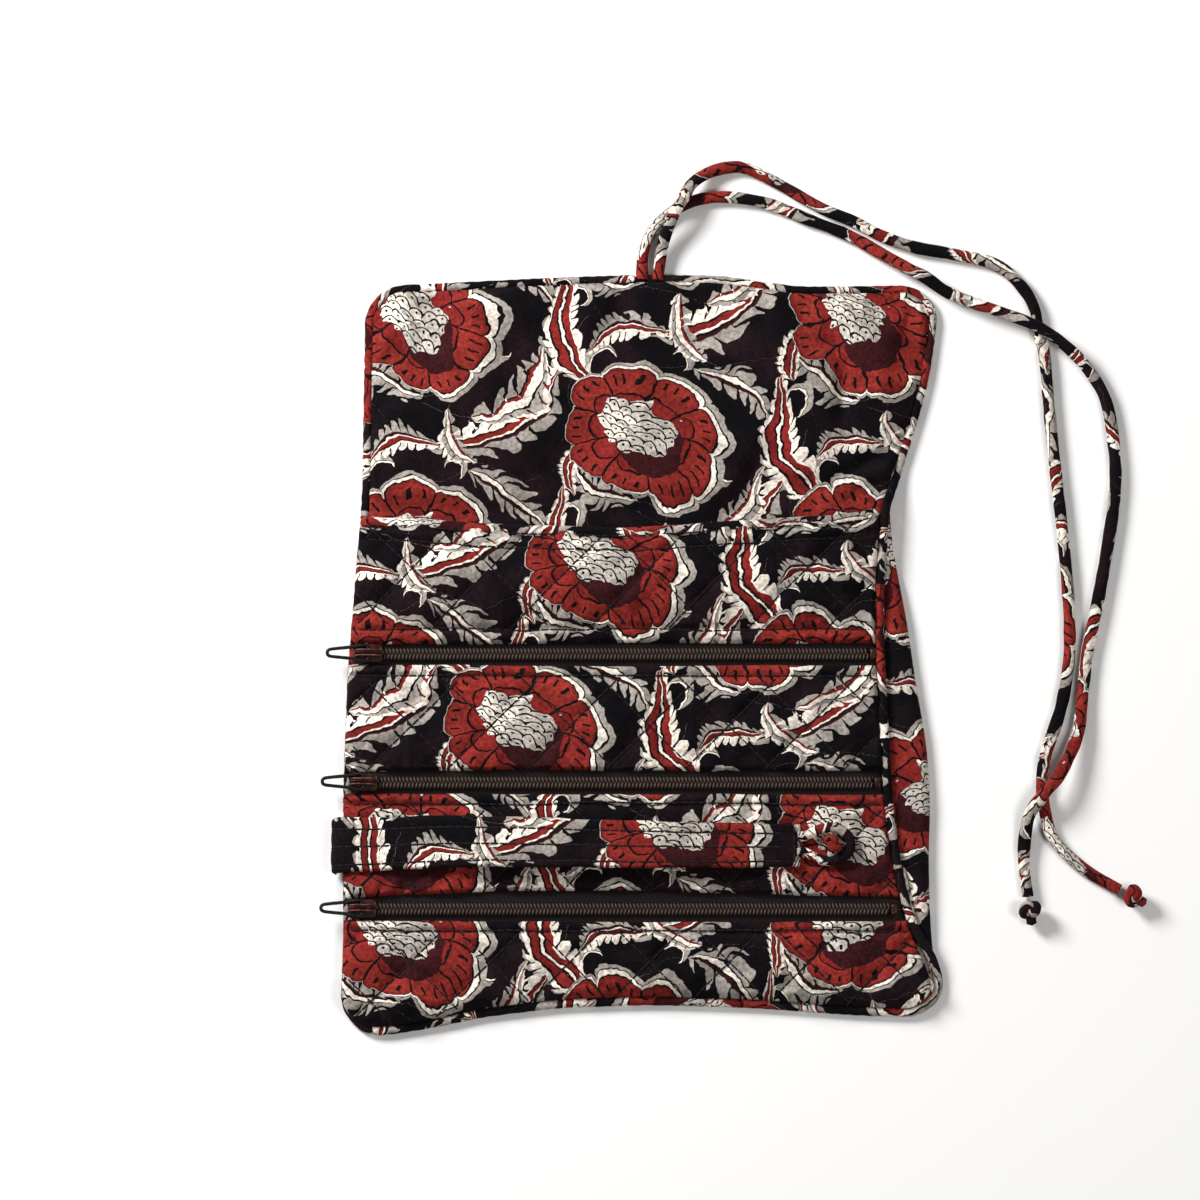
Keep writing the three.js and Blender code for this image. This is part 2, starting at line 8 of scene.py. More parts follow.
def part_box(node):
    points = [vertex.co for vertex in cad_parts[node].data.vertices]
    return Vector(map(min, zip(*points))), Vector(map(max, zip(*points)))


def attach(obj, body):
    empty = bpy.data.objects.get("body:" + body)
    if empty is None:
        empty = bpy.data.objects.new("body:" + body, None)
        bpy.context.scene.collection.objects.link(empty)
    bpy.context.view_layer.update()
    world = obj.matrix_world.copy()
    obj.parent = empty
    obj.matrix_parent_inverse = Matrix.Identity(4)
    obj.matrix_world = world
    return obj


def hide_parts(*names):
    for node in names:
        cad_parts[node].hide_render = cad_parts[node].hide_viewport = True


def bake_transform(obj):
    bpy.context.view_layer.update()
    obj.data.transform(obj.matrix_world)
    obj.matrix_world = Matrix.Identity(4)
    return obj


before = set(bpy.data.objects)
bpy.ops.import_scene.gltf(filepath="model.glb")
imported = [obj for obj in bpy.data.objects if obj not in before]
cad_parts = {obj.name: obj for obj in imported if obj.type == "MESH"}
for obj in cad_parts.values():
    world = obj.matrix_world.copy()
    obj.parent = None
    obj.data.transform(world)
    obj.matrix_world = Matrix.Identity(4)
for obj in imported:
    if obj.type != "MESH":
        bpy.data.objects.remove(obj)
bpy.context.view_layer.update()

mm = 0.001  # all sizes below are in millimetres and go to metres when a mesh is made
scene = bpy.context.scene
scene.view_settings.view_transform = "Standard"
print("frame loaded,", len(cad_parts), "nodes")

# camera, as the photograph was taken: nearly straight down, a little from the bottom edge
view = {
    "aim": (-13.3, 18.7, 2.0),
    "elevation": 80.0,
    "distance": 2400.0,
    "frameWidth": 398.0,  # what the whole square frame spans at the aim point
    "nearest": 10.0,
}


def placeCamera():
    lens = bpy.data.cameras.new("viewCamera")
    camera = bpy.data.objects.new("viewCamera", lens)
    scene.collection.objects.link(camera)
    lens.angle = 2 * math.atan(view["frameWidth"] / 2 / view["distance"])
    lens.clip_start = view["nearest"] * mm
    aim = Vector(view["aim"]) * mm
    tilt = math.radians(view["elevation"])
    away = Vector((0, -math.cos(tilt), math.sin(tilt)))
    camera.location = aim + away * view["distance"] * mm
    camera.rotation_euler = away.to_track_quat("Z", "Y").to_euler()
    scene.camera = camera


placeCamera()
print("camera placed")


# an sRGB hex colour as linear red, green, blue and full cover
def linear(hexColour):
    parts = [int(hexColour[i:i + 2], 16) / 255 for i in (1, 3, 5)]
    return [p / 12.92 if p <= 0.04045 else ((p + 0.055) / 1.055) ** 2.4 for p in parts] + [1.0]


# adds one node: its inputs in order, or by name in named, its settings, and colour stops
def addNode(tree, kind, *inputs, out=0, named=None, stops=None, **settings):
    node = tree.nodes.new("ShaderNode" + kind)
    for key, value in settings.items():
        setattr(node, key, value)
    pairs = list(zip(node.inputs, inputs))
    pairs += [(node.inputs[key], value) for key, value in (named or {}).items()]
    for socket, value in pairs:
        if isinstance(value, bpy.types.NodeSocket):
            tree.links.new(value, socket)
        elif value is not None:
            socket.default_value = value
    if stops:
        ramp = node.color_ramp
        ramp.interpolation = "CONSTANT"
        while len(ramp.elements) < len(stops):
            ramp.elements.new(1.0)
        for element, (at, colour) in zip(ramp.elements, stops):
            element.position = at
            element.color = colour
    return node.outputs[out] if len(node.outputs) else node


def startGroup(name, takes, gives):
    tree = bpy.data.node_groups.new(name, "ShaderNodeTree")
    for label, kind in takes:
        tree.interface.new_socket(label, in_out="INPUT", socket_type="NodeSocket" + kind)
    for label, kind in gives:
        tree.interface.new_socket(label, in_out="OUTPUT", socket_type="NodeSocket" + kind)
    entry = tree.nodes.new("NodeGroupInput")
    leave = tree.nodes.new("NodeGroupOutput")
    return tree, entry.outputs[:len(takes)], leave.inputs[:len(gives)]


def startMaterial(name):
    material = bpy.data.materials.new(name)
    material.use_nodes = True
    material.node_tree.nodes.clear()
    return material, material.node_tree


# the print's inks and its repeat, in mm; each column of flowers drops by half a row
blockPrint = {
    "ground": "#0c0a0d",
    "deepGround": "#1a1013",
    "maroon": "#331417",
    "red": "#74221f",
    "brightRed": "#822a24",
    "cream": "#e2d7ca",
    "grey": "#989088",
    "paleGrey": "#b3aba2",
    "line": "#120e10",
    "columnStep": 73.5,
    "rowStep": 76.0,
    "wander": [(6.0, 36.0), (2.6, 12.0), (0.5, 2.2)],  # how far outlines stray, over what length
    "cloud": 38.0,  # patches where the ground took more dye
    "cloudEdge": (0.48, 0.62),
}
ink = {key: linear(value) for key, value in blockPrint.items() if isinstance(value, str)}
ink["clear"] = [0.0, 0.0, 0.0, 0.0]
motifGives = [("Colour", "Color"), ("Cover", "Float")]


def buildHalfDrop():
    tree, (place, centre), (local,) = startGroup(
        "halfDropRepeat", [("Place", "Vector"), ("Centre", "Vector")], [("Local", "Vector")])
    step, row = blockPrint["columnStep"], blockPrint["rowStep"]
    moved = addNode(tree, "VectorMath", place, centre, operation="SUBTRACT")
    across, up = addNode(tree, "SeparateXYZ", moved).node.outputs[:2]
    column = addNode(tree, "Math", across, step, operation="DIVIDE")
    column = addNode(tree, "Math", column, operation="ROUND")
    across = addNode(tree, "Math", column, -step, across, operation="MULTIPLY_ADD")
    dropped = addNode(tree, "Math", column, 1.0, operation="PINGPONG")
    up = addNode(tree, "Math", dropped, -row / 2, up, operation="MULTIPLY_ADD")
    up = addNode(tree, "Math", up, row / 2, -row / 2, operation="WRAP")
    tree.links.new(addNode(tree, "CombineXYZ", across, up, 0.0), local)
    return tree


# fish scales in the flower's heart: rows of arcs, each row half a scale across from the next
scalePrint = {"wide": 4.4, "tall": 3.1, "arc": 0.55, "lineHalf": 0.3, "dotAt": (0.0, 0.9, 0.0), "dot": 0.42}


def buildScales():
    tree, (local,), (mark,) = startGroup("fishScales", [("Local", "Vector")], [("Mark", "Float")])
    wide, tall = scalePrint["wide"], scalePrint["tall"]
    across, up = addNode(tree, "SeparateXYZ", local).node.outputs[:2]
    up = addNode(tree, "Math", up, tall, operation="DIVIDE")
    row = addNode(tree, "Math", up, operation="FLOOR")
    inRow = addNode(tree, "Math", up, row, operation="SUBTRACT")
    inRow = addNode(tree, "Math", inRow, tall, operation="MULTIPLY")
    odd = addNode(tree, "Math", row, 2.0, operation="FLOORED_MODULO")
    across = addNode(tree, "Math", odd, wide / 2, across, operation="MULTIPLY_ADD")
    across = addNode(tree, "Math", across, wide / 2, -wide / 2, operation="WRAP")
    spot = addNode(tree, "CombineXYZ", across, inRow, 0.0)
    reach = addNode(tree, "VectorMath", spot, operation="LENGTH", out=1)
    arc = addNode(tree, "Math", reach, scalePrint["arc"] * wide, scalePrint["lineHalf"], operation="COMPARE")
    dot = addNode(tree, "VectorMath", spot, scalePrint["dotAt"], operation="DISTANCE", out=1)
    dot = addNode(tree, "Math", dot, scalePrint["dot"], operation="LESS_THAN")
    tree.links.new(addNode(tree, "Math", arc, dot, operation="MAXIMUM"), mark)
    return tree


# the flower: petals round a scaled heart, in mm; bands start at a distance out from the petals' edge
flowerPrint = {
    "ovalTurn": 0.5,
    "oval": (0.9, 1.12, 1.0),
    "petals": 9,
    "reach": 20.6,
    "lobe": 3.4,
    "lobeNotch": 0.99,
    "lobeRound": 0.55,
    "borderTurn": 0.9,
    "borderSwing": (0.6, 0.45),
    "borderLeast": 0.06,
    "bands": [(-16.0, "red"), (-8.5, "line"), (-7.8, "brightRed"), (-1.2, "red"), (-0.35, "line"),
              (0.35, "cream"), (2.2, "line"), (2.9, "grey"), (5.0, "clear")],
    "bandsEnd": 9.0,
    "lineHalf": 0.42,
    "ticks": 4,
    "tickAt": (-3.4, 1.5),
    "shadeAt": (4.5, -3.5, 0.0),
    "shade": 10.5,
    "heartAt": (-1.5, 1.2, 0.0),
    "heart": 11.2,
    "ragged": 10.0,
    "raggedSize": 6.25,
    "paleLean": -0.035,
    "paleFrom": 0.66,
}


def buildFlower():
    tree, (place,), (colour, cover) = startGroup("printedFlower", [("Local", "Vector")], motifGives)
    made = flowerPrint
    perTurn = made["petals"] / (2 * math.pi)
    local = addNode(tree, "VectorRotate", place, None, None, made["ovalTurn"], rotation_type="Z_AXIS")
    local = addNode(tree, "VectorMath", local, made["oval"], operation="MULTIPLY")
    across, up = addNode(tree, "SeparateXYZ", local).node.outputs[:2]
    reach = addNode(tree, "VectorMath", local, operation="LENGTH", out=1)
    turn = addNode(tree, "Math", up, across, operation="ARCTAN2")
    petalTurn = addNode(tree, "Math", turn, perTurn, operation="MULTIPLY")
    inPetal = addNode(tree, "Math", petalTurn, 0.5, -0.5, operation="WRAP")
    aside = addNode(tree, "Math", inPetal, operation="ABSOLUTE")
    lobe = addNode(tree, "Math", aside, aside, operation="MULTIPLY")
    lobe = addNode(tree, "Math", lobe, -4 * made["lobeNotch"], 1.0, operation="MULTIPLY_ADD")
    lobe = addNode(tree, "Math", lobe, made["lobeRound"], operation="POWER")
    edge = addNode(tree, "Math", lobe, made["lobe"], made["reach"], operation="MULTIPLY_ADD")
    beyond = addNode(tree, "Math", reach, edge, operation="SUBTRACT")
    # the border is broad on one side and runs out on the other
    lean = addNode(tree, "Math", turn, made["borderTurn"], operation="ADD")
    lean = addNode(tree, "Math", lean, operation="SINE")
    lean = addNode(tree, "Math", lean, *made["borderSwing"], operation="MULTIPLY_ADD")
    lean = addNode(tree, "Math", lean, made["borderLeast"], operation="MAXIMUM")
    onBorder = addNode(tree, "Math", beyond, 0.0, operation="MAXIMUM")
    onBorder = addNode(tree, "Math", onBorder, lean, operation="DIVIDE")
    onRed = addNode(tree, "Math", beyond, 0.0, operation="MINIMUM")
    band = addNode(tree, "Math", onBorder, onRed, operation="ADD")
    low, high = made["bands"][0][0], made["bandsEnd"]
    spot = addNode(tree, "MapRange", band, low, high, 0.0, 1.0)
    flower = addNode(tree, "ValToRGB", spot, stops=[
        ((at - low) / (high - low), ink[tone]) for at, tone in made["bands"]])
    flowerCover = flower.node.outputs[1]
    onPetals = addNode(tree, "Math", beyond, 0.0, operation="LESS_THAN")
    # petal outlines, and the short ticks near the petal ends
    toSide = addNode(tree, "Math", 0.5, aside, operation="SUBTRACT")
    toSide = addNode(tree, "Math", toSide, reach, operation="MULTIPLY")
    outline = addNode(tree, "Math", toSide, made["lineHalf"] * perTurn, operation="LESS_THAN")
    tick = addNode(tree, "Math", petalTurn, made["ticks"], operation="MULTIPLY")
    tick = addNode(tree, "Math", tick, 0.5, -0.5, operation="WRAP")
    tick = addNode(tree, "Math", tick, reach, operation="MULTIPLY")
    tick = addNode(tree, "Math", tick, operation="ABSOLUTE")
    tick = addNode(tree, "Math", tick, made["lineHalf"] * made["ticks"] * perTurn, operation="LESS_THAN")
    tickPlace = addNode(tree, "Math", beyond, *made["tickAt"], operation="COMPARE")
    tick = addNode(tree, "Math", tick, tickPlace, operation="MULTIPLY")
    drawn = addNode(tree, "Math", outline, tick, operation="MAXIMUM")
    drawn = addNode(tree, "Math", drawn, onPetals, operation="MULTIPLY")
    flower = addNode(tree, "MixRGB", drawn, flower, ink["line"])
    # a maroon shade on one side of the heart
    shade = addNode(tree, "VectorMath", local, made["shadeAt"], operation="DISTANCE", out=1)
    shade = addNode(tree, "Math", shade, made["shade"], operation="LESS_THAN")
    flower = addNode(tree, "MixRGB", shade, flower, ink["maroon"])
    # the heart has a ragged edge, and is cream on one side
    ragged = addNode(tree, "TexNoise", local, None, 1 / made["raggedSize"], 1.0, noise_dimensions="2D")
    heart = addNode(tree, "VectorMath", local, made["heartAt"], operation="DISTANCE", out=1)
    inHeart = addNode(tree, "Math", ragged, -made["ragged"], heart, operation="MULTIPLY_ADD")
    inHeart = addNode(tree, "Math", inHeart, made["heart"] - made["ragged"] / 2, operation="LESS_THAN")
    pale = addNode(tree, "Math", across, made["paleLean"], ragged, operation="MULTIPLY_ADD")
    pale = addNode(tree, "Math", pale, made["paleFrom"], operation="GREATER_THAN")
    middle = addNode(tree, "MixRGB", pale, ink["paleGrey"], ink["cream"])
    marks = addNode(tree, "Group", local, node_tree=buildScales())
    middle = addNode(tree, "MixRGB", marks, middle, ink["line"])
    flower = addNode(tree, "MixRGB", inHeart, flower, middle)
    tree.links.new(flower, colour)
    tree.links.new(flowerCover, cover)
    return tree


# leaves: how their outline tapers, and how their lobes lean, vary and are hatched
leafPrint = {
    "least": 0.0001,
    "taper": 0.65,
    "lobeLean": -1.1,
    "lobeStray": 2.2,
    "strayPerMm": 0.11,
    "lobeShift": 0.37,  # lobes above the rib stand between those below it
    "lobeRound": 0.7,
    "hatch": 0.27,
}


# a leaf on a bent rib; bands, lobes and how deep they are cut differ above and below the rib
def buildLeaf(name, above, below, lobes, deepAbove, deepBelow, hatchFrom):
    takes = [("Local", "Vector"), ("Turn", "Float"), ("Long", "Float"), ("Wide", "Float"), ("Bend", "Float")]
    tree, (local, turn, long, wide, bend), (colour, cover) = startGroup(name, takes, motifGives)
    made = leafPrint
    turned = addNode(tree, "VectorRotate", local, None, None, turn, rotation_type="Z_AXIS")
    across, up = addNode(tree, "SeparateXYZ", turned).node.outputs[:2]
    along = addNode(tree, "Math", across, long, operation="DIVIDE")
    square = addNode(tree, "Math", along, along, operation="MULTIPLY")
    side = addNode(tree, "Math", square, bend, operation="MULTIPLY")
    side = addNode(tree, "Math", side, -4.0, up, operation="MULTIPLY_ADD")
    body = addNode(tree, "Math", square, -4.0, 1.0, operation="MULTIPLY_ADD")
    body = addNode(tree, "Math", body, made["least"], operation="MAXIMUM")
    body = addNode(tree, "Math", body, made["taper"], operation="POWER")
    width = addNode(tree, "Math", body, wide, operation="MULTIPLY")
    out = addNode(tree, "Math", side, operation="ABSOLUTE")
    share = addNode(tree, "Math", out, width, operation="DIVIDE")
    over = addNode(tree, "Math", side, 0.0, operation="GREATER_THAN")
    # lobes lean towards the tip and are never quite alike
    lobe = addNode(tree, "Math", out, wide, operation="DIVIDE")
    lobe = addNode(tree, "Math", lobe, made["lobeLean"], operation="MULTIPLY")
    lobe = addNode(tree, "Math", along, lobes, lobe, operation="MULTIPLY_ADD")
    stray = addNode(tree, "TexNoise", turned, None, made["strayPerMm"], 1.0, noise_dimensions="2D")
    lobe = addNode(tree, "Math", stray, made["lobeStray"], lobe, operation="MULTIPLY_ADD")
    lobe = addNode(tree, "Math", over, made["lobeShift"], lobe, operation="MULTIPLY_ADD")
    lobe = addNode(tree, "Math", lobe, math.pi, operation="MULTIPLY")
    lobe = addNode(tree, "Math", lobe, operation="SINE")
    lobe = addNode(tree, "Math", lobe, operation="ABSOLUTE")
    rounded = addNode(tree, "Math", lobe, made["lobeRound"], operation="POWER")
    deep = addNode(tree, "MapRange", over, 0.0, 1.0, deepBelow, deepAbove)
    limit = addNode(tree, "Math", rounded, 1.0, operation="SUBTRACT")
    limit = addNode(tree, "Math", limit, deep, 1.0, operation="MULTIPLY_ADD")
    upper = addNode(tree, "ValToRGB", share, stops=[(at, ink[tone]) for at, tone in above])
    lower = addNode(tree, "ValToRGB", share, stops=[(at, ink[tone]) for at, tone in below])
    leaf = addNode(tree, "MixRGB", over, lower, upper)
    hatch = addNode(tree, "Math", lobe, made["hatch"], operation="LESS_THAN")
    where = addNode(tree, "Math", share, hatchFrom, operation="GREATER_THAN")
    hatch = addNode(tree, "Math", hatch, where, operation="MULTIPLY")
    leaf = addNode(tree, "MixRGB", hatch, leaf, ink["line"])
    inside = addNode(tree, "Math", share, limit, operation="LESS_THAN")
    tree.links.new(leaf, colour)
    tree.links.new(inside, cover)
    return tree


# curls: a disc with a smaller one cut out of it, and the bands outwards from the cut
curlPrint = {"cut": 0.84, "bands": [(0.0, "cream"), (0.93, "line"), (0.98, "grey")]}


def buildCurl():
    takes = [("Local", "Vector"), ("Size", "Float"), ("Cut", "Vector")]
    tree, (local, size, cut), (colour, cover) = startGroup("printedCurl", takes, motifGives)
    outer = addNode(tree, "VectorMath", local, operation="LENGTH", out=1)
    outer = addNode(tree, "Math", outer, size, operation="DIVIDE")
    inner = addNode(tree, "VectorMath", local, cut, operation="DISTANCE", out=1)
    inner = addNode(tree, "Math", inner, size, operation="DIVIDE")
    inside = addNode(tree, "Math", outer, 1.0, operation="LESS_THAN")
    clear = addNode(tree, "Math", inner, curlPrint["cut"], operation="GREATER_THAN")
    whole = addNode(tree, "Math", inside, clear, operation="MULTIPLY")
    curl = addNode(tree, "ValToRGB", inner, stops=[(at, ink[tone]) for at, tone in curlPrint["bands"]])
    tree.links.new(curl, colour)
    tree.links.new(whole, cover)
    return tree


# where the leaves and curls of one repeat stand, from the middle of the flower
leaves = [  # kind, centre x, y, turn in degrees, length, half width, bend
    (0, 29.0, 41.0, 28.0, 54.0, 8.6, 9.0),
    (1, 47.0, -4.0, 108.0, 48.0, 6.2, -10.0),
    (2, 33.0, 20.0, -38.0, 29.0, 6.8, -5.0),
    (3, 36.0, -24.0, 42.0, 31.0, 6.4, 7.0),
    (0, -7.0, 37.0, 200.0, 25.0, 5.2, 5.0),
    (2, 60.0, 17.0, 146.0, 25.0, 5.8, -5.0),
    (3, 12.0, 36.0, -56.0, 24.0, 5.0, 5.0),
    (1, 51.0, 29.0, 72.0, 20.0, 3.6, -4.0),
]
# each kind's bands outwards from the rib, above and below it, then its lobes, how deep they are cut
# above and below, and where their lines start
leafBands = [
    ([(0.0, "red"), (0.26, "line"), (0.34, "cream")],
     [(0.0, "cream"), (0.09, "line"), (0.18, "maroon"), (0.3, "grey")], 9.0, 0.4, 0.8, 0.46),
    ([(0.0, "line"), (0.1, "red"), (0.42, "line"), (0.52, "cream"), (0.82, "grey")],
     [(0.0, "cream"), (0.14, "line"), (0.24, "red"), (0.52, "cream")], 11.0, 0.45, 0.45, 0.6),
    ([(0.0, "cream"), (0.12, "line"), (0.2, "grey")],
     [(0.0, "cream"), (0.12, "line"), (0.2, "maroon"), (0.34, "grey")], 6.0, 0.95, 0.95, 0.26),
    ([(0.0, "cream"), (0.16, "red"), (0.32, "line"), (0.4, "grey")],
     [(0.0, "cream"), (0.22, "line"), (0.31, "grey"), (0.62, "cream")], 7.0, 0.85, 0.55, 0.36),
]
curls = [  # centre x, y, radius, and where the cutting circle stands
    (28.0, -9.0, 5.6, 2.2, 1.6),
    (-25.0, 27.0, 5.6, -2.2, 1.2),
    (61.0, -12.0, 5.4, 1.8, -2.0),
    (14.0, 27.5, 4.8, -1.6, -1.6),
    (38.0, 53.0, 5.4, 2.0, 1.8),
    (24.0, -30.0, 5.2, -1.2, 2.0),
    (52.0, 12.0, 4.6, -1.8, -0.8),
]


def buildPrint():
    tree, (place,), (colour,) = startGroup("blockPrint", [("Place", "Vector")], [("Colour", "Color")])
    halfDrop, flower, curl = buildHalfDrop(), buildFlower(), buildCurl()
    kinds = [buildLeaf("printedLeaf" + str(k), *bands) for k, bands in enumerate(leafBands)]
    # blocks cut and laid by hand: outlines wander, and the ink frays at the thread
    moved = place
    for far, size in blockPrint["wander"]:
        noise = addNode(tree, "TexNoise", place, None, 1 / size, 1.0, noise_dimensions="2D", out=1)
        noise = addNode(tree, "VectorMath", noise, (0.5, 0.5, 0.5), operation="SUBTRACT")
        moved = addNode(tree, "VectorMath", noise, (far * 2,) * 3, moved, operation="MULTIPLY_ADD")
    cloud = addNode(tree, "TexNoise", place, None, 1 / blockPrint["cloud"], 2.0, noise_dimensions="2D")
    cloud = addNode(tree, "MapRange", cloud, *blockPrint["cloudEdge"], 0.0, 1.0)
    made = addNode(tree, "MixRGB", cloud, ink["ground"], ink["deepGround"])
    # each motif is laid over the ones before it
    motifs = [(x, y, curl, (size, (cutX, cutY, 0.0))) for x, y, size, cutX, cutY in curls]
    for kind, x, y, turn, long, wide, bend in leaves:
        motifs.append((x, y, kinds[kind], (math.radians(-turn), long, wide, bend)))
    motifs.append((0.0, 0.0, flower, ()))
    for x, y, motif, sizes in motifs:
        local = addNode(tree, "Group", moved, (x, y, 0.0), node_tree=halfDrop)
        tone = addNode(tree, "Group", local, *sizes, node_tree=motif)
        made = addNode(tree, "MixRGB", tone.node.outputs[1], made, tone)
    tree.links.new(made, colour)
    return tree


# cotton voile weave: real threads are 0.3 mm apart, drawn at 0.8 mm so that they show
weave = {
    "threadStep": 0.8,
    "bump": 0.25,
    "threadDeep": 0.1,
    "uneven": [(9.0, 4.0, 0.24), (1.3, 2.0, 0.3)],  # length, detail and strength of uneven dye
    "rough": (0.82, 0.96),
}


def makePrintedCotton():
    # hand block-printed plain weave: matt, soft, colours slightly uneven where the dye took less
    material, tree = startMaterial("blockPrintedCotton")
    cloth = addNode(tree, "UVMap", uv_map="cloth")
    place = addNode(tree, "VectorMath", cloth, (1 / mm,) * 3, operation="MULTIPLY")
    printed = addNode(tree, "Group", place, node_tree=buildPrint())
    for size, detail, strength in weave["uneven"]:
        dye = addNode(tree, "TexNoise", place, None, 1 / size, detail, noise_dimensions="2D")
        dye = addNode(tree, "MapRange", dye, 0.3, 0.7, 1 - strength, 1 + strength)
        printed = addNode(tree, "VectorMath", printed, dye, operation="MULTIPLY")
    waves = []
    for way in addNode(tree, "SeparateXYZ", place).node.outputs[:2]:
        wave = addNode(tree, "Math", way, 2 * math.pi / weave["threadStep"], operation="MULTIPLY")
        waves.append(addNode(tree, "Math", wave, operation="SINE"))
    threads = addNode(tree, "Math", *waves, operation="MULTIPLY")
    bump = addNode(tree, "Bump", named={
        "Strength": weave["bump"], "Distance": weave["threadDeep"] * mm, "Height": threads})
    rough = addNode(tree, "MapRange", threads, -1.0, 1.0, *weave["rough"])
    shader = addNode(tree, "BsdfPrincipled", named={
        "Base Color": printed, "Roughness": rough, "Normal": bump, "IOR": 1.53,
        "Sheen Weight": 0.012, "Sheen Roughness": 0.4, "Specular IOR Level": 0.04})
    addNode(tree, "OutputMaterial", shader)
    return material


threadLook = {"dark": "#0b090b", "light": "#141013", "lightFrom": 0.55, "twist": 0.5}


def makeThread():
    # mercerised sewing cotton: twisted, a little glossy along the twist
    material, tree = startMaterial("blackSewingThread")
    where = addNode(tree, "TexCoord", out=3)
    twist = addNode(tree, "TexNoise", where, None, 1 / (threadLook["twist"] * mm), 2.0)
    tone = addNode(tree, "ValToRGB", twist, stops=[
        (0.0, linear(threadLook["dark"])), (threadLook["lightFrom"], linear(threadLook["light"]))])
    shader = addNode(tree, "BsdfPrincipled", named={
        "Base Color": tone, "Roughness": 0.7, "IOR": 1.53, "Specular IOR Level": 0.15})
    addNode(tree, "OutputMaterial", shader)
    return material


# the wave texture draws about 3.14 bands to a unit
tapeLook = {
    "dark": "#0f0a0a",
    "light": "#1b1312",
    "bone": 1.0,
    "bandsPerUnit": 3.14,
    "bump": 0.4,
    "deep": 0.15,
}


def makeZipTape():
    # woven polyester tape, herringbone 1 mm wide: dark brown, dull
    material, tree = startMaterial("wovenZipTape")
    cloth = addNode(tree, "UVMap", uv_map="cloth")
    fine = 1 / (tapeLook["bone"] * mm) / tapeLook["bandsPerUnit"]
    bone = addNode(tree, "TexWave", cloth, fine, 1.5, 2.0, 1.0, wave_type="BANDS",
                   bands_direction="DIAGONAL", out=1)
    tone = addNode(tree, "MixRGB", bone, linear(tapeLook["dark"]), linear(tapeLook["light"]))
    bump = addNode(tree, "Bump", named={
        "Strength": tapeLook["bump"], "Distance": tapeLook["deep"] * mm, "Height": bone})
    shader = addNode(tree, "BsdfPrincipled", named={
        "Base Color": tone, "Roughness": 0.8, "Normal": bump, "IOR": 1.58, "Specular IOR Level": 0.1})
    addNode(tree, "OutputMaterial", shader)
    return material


# the filament goes from painted shade low down to a painted highlight on top, between two heights
coilLook = {"dark": "#150f0c", "worn": ("#3f3027", "#5a483b"), "spot": 3.0, "wornFrom": 4.9, "wornAt": 5.65}


def makeNylonCoil():
    # extruded nylon filament wound into a coil: brown, slightly shiny; painted lighter on top as a highlight
    # and darker below as shade
    material, tree = startMaterial("nylonZipCoil")
    where = addNode(tree, "TexCoord", out=3)
    spot = addNode(tree, "TexNoise", where, None, 1 / (coilLook["spot"] * mm), 2.0)
    pale = addNode(tree, "MixRGB", spot, *[linear(tone) for tone in coilLook["worn"]])
    # the top of the coil is painted light as a highlight, and its lower side dark as shade
    high = addNode(tree, "SeparateXYZ", where, out=2)
    worn = addNode(tree, "MapRange", high, coilLook["wornFrom"] * mm, coilLook["wornAt"] * mm, 0.0, 1.0)
    tone = addNode(tree, "MixRGB", worn, linear(coilLook["dark"]), pale)
    shader = addNode(tree, "BsdfPrincipled", named={
        "Base Color": tone, "Roughness": 0.42, "IOR": 1.53, "Specular IOR Level": 0.18})
    addNode(tree, "OutputMaterial", shader)
    return material


# tones of the lacquer: dark on the flats, and lighter on rails and rims as a painted highlight
lacquer = {
    "lacqueredZinc": ("#1e0c0b", "#301513", "#4c2825"),
    "rubbedLacquer": ("#4f2b29", "#6b403c", "#8c615b"),
}
lacquerSpots = {"size": 2.2, "shares": (0.0, 0.48, 0.66), "rough": (0.22, 0.38)}


def makeLacquer(name):
    # die-cast zinc dipped in brown lacquer: glossy, its tone differing at random; the lighter set is a
    # painted highlight
    material, tree = startMaterial(name)
    where = addNode(tree, "TexCoord", out=3)
    spot = addNode(tree, "TexNoise", where, None, 1 / (lacquerSpots["size"] * mm), 3.0)
    tone = addNode(tree, "ValToRGB", spot, stops=[
        (at, linear(colour)) for at, colour in zip(lacquerSpots["shares"], lacquer[name])])
    rough = addNode(tree, "MapRange", spot, 0.3, 0.7, *lacquerSpots["rough"])
    shader = addNode(tree, "BsdfPrincipled", named={
        "Base Color": tone, "Roughness": rough, "IOR": 1.5, "Specular IOR Level": 0.12})
    addNode(tree, "OutputMaterial", shader)
    return material


wireLook = {"dark": "#0e0d0e", "light": "#201f22", "spot": 1.2, "rough": (0.28, 0.45), "metal": 0.85}


def makeBlackWire():
    # drawn steel wire, black oxide: dark with a soft metal shine along its length
    material, tree = startMaterial("blackenedSteelWire")
    where = addNode(tree, "TexCoord", out=3)
    spot = addNode(tree, "TexNoise", where, None, 1 / (wireLook["spot"] * mm), 3.0)
    tone = addNode(tree, "MixRGB", spot, linear(wireLook["dark"]), linear(wireLook["light"]))
    rough = addNode(tree, "MapRange", spot, 0.3, 0.7, *wireLook["rough"])
    shader = addNode(tree, "BsdfPrincipled", named={
        "Base Color": tone, "Roughness": rough, "Metallic": wireLook["metal"]})
    addNode(tree, "OutputMaterial", shader)
    return material


printedCotton = makePrintedCotton()
blackThread = makeThread()
zipTape = makeZipTape()
nylonCoil = makeNylonCoil()
lacqueredZinc, rubbedLacquer = [makeLacquer(name) for name in lacquer]
blackWire = makeBlackWire()
print("materials made")


# value at a place, read from pairs and rounded off over a soft window
def along(pairs, at, soft=61, count=601):
    knots, values = zip(*sorted(pairs))
    fine = np.linspace(knots[0], knots[-1], count)
    window = np.hanning(soft)
    wide = np.pad(np.interp(fine, knots, values), soft // 2, mode="reflect", reflect_type="odd")
    return np.interp(at, fine, np.convolve(wide, window / window.sum(), "valid"))


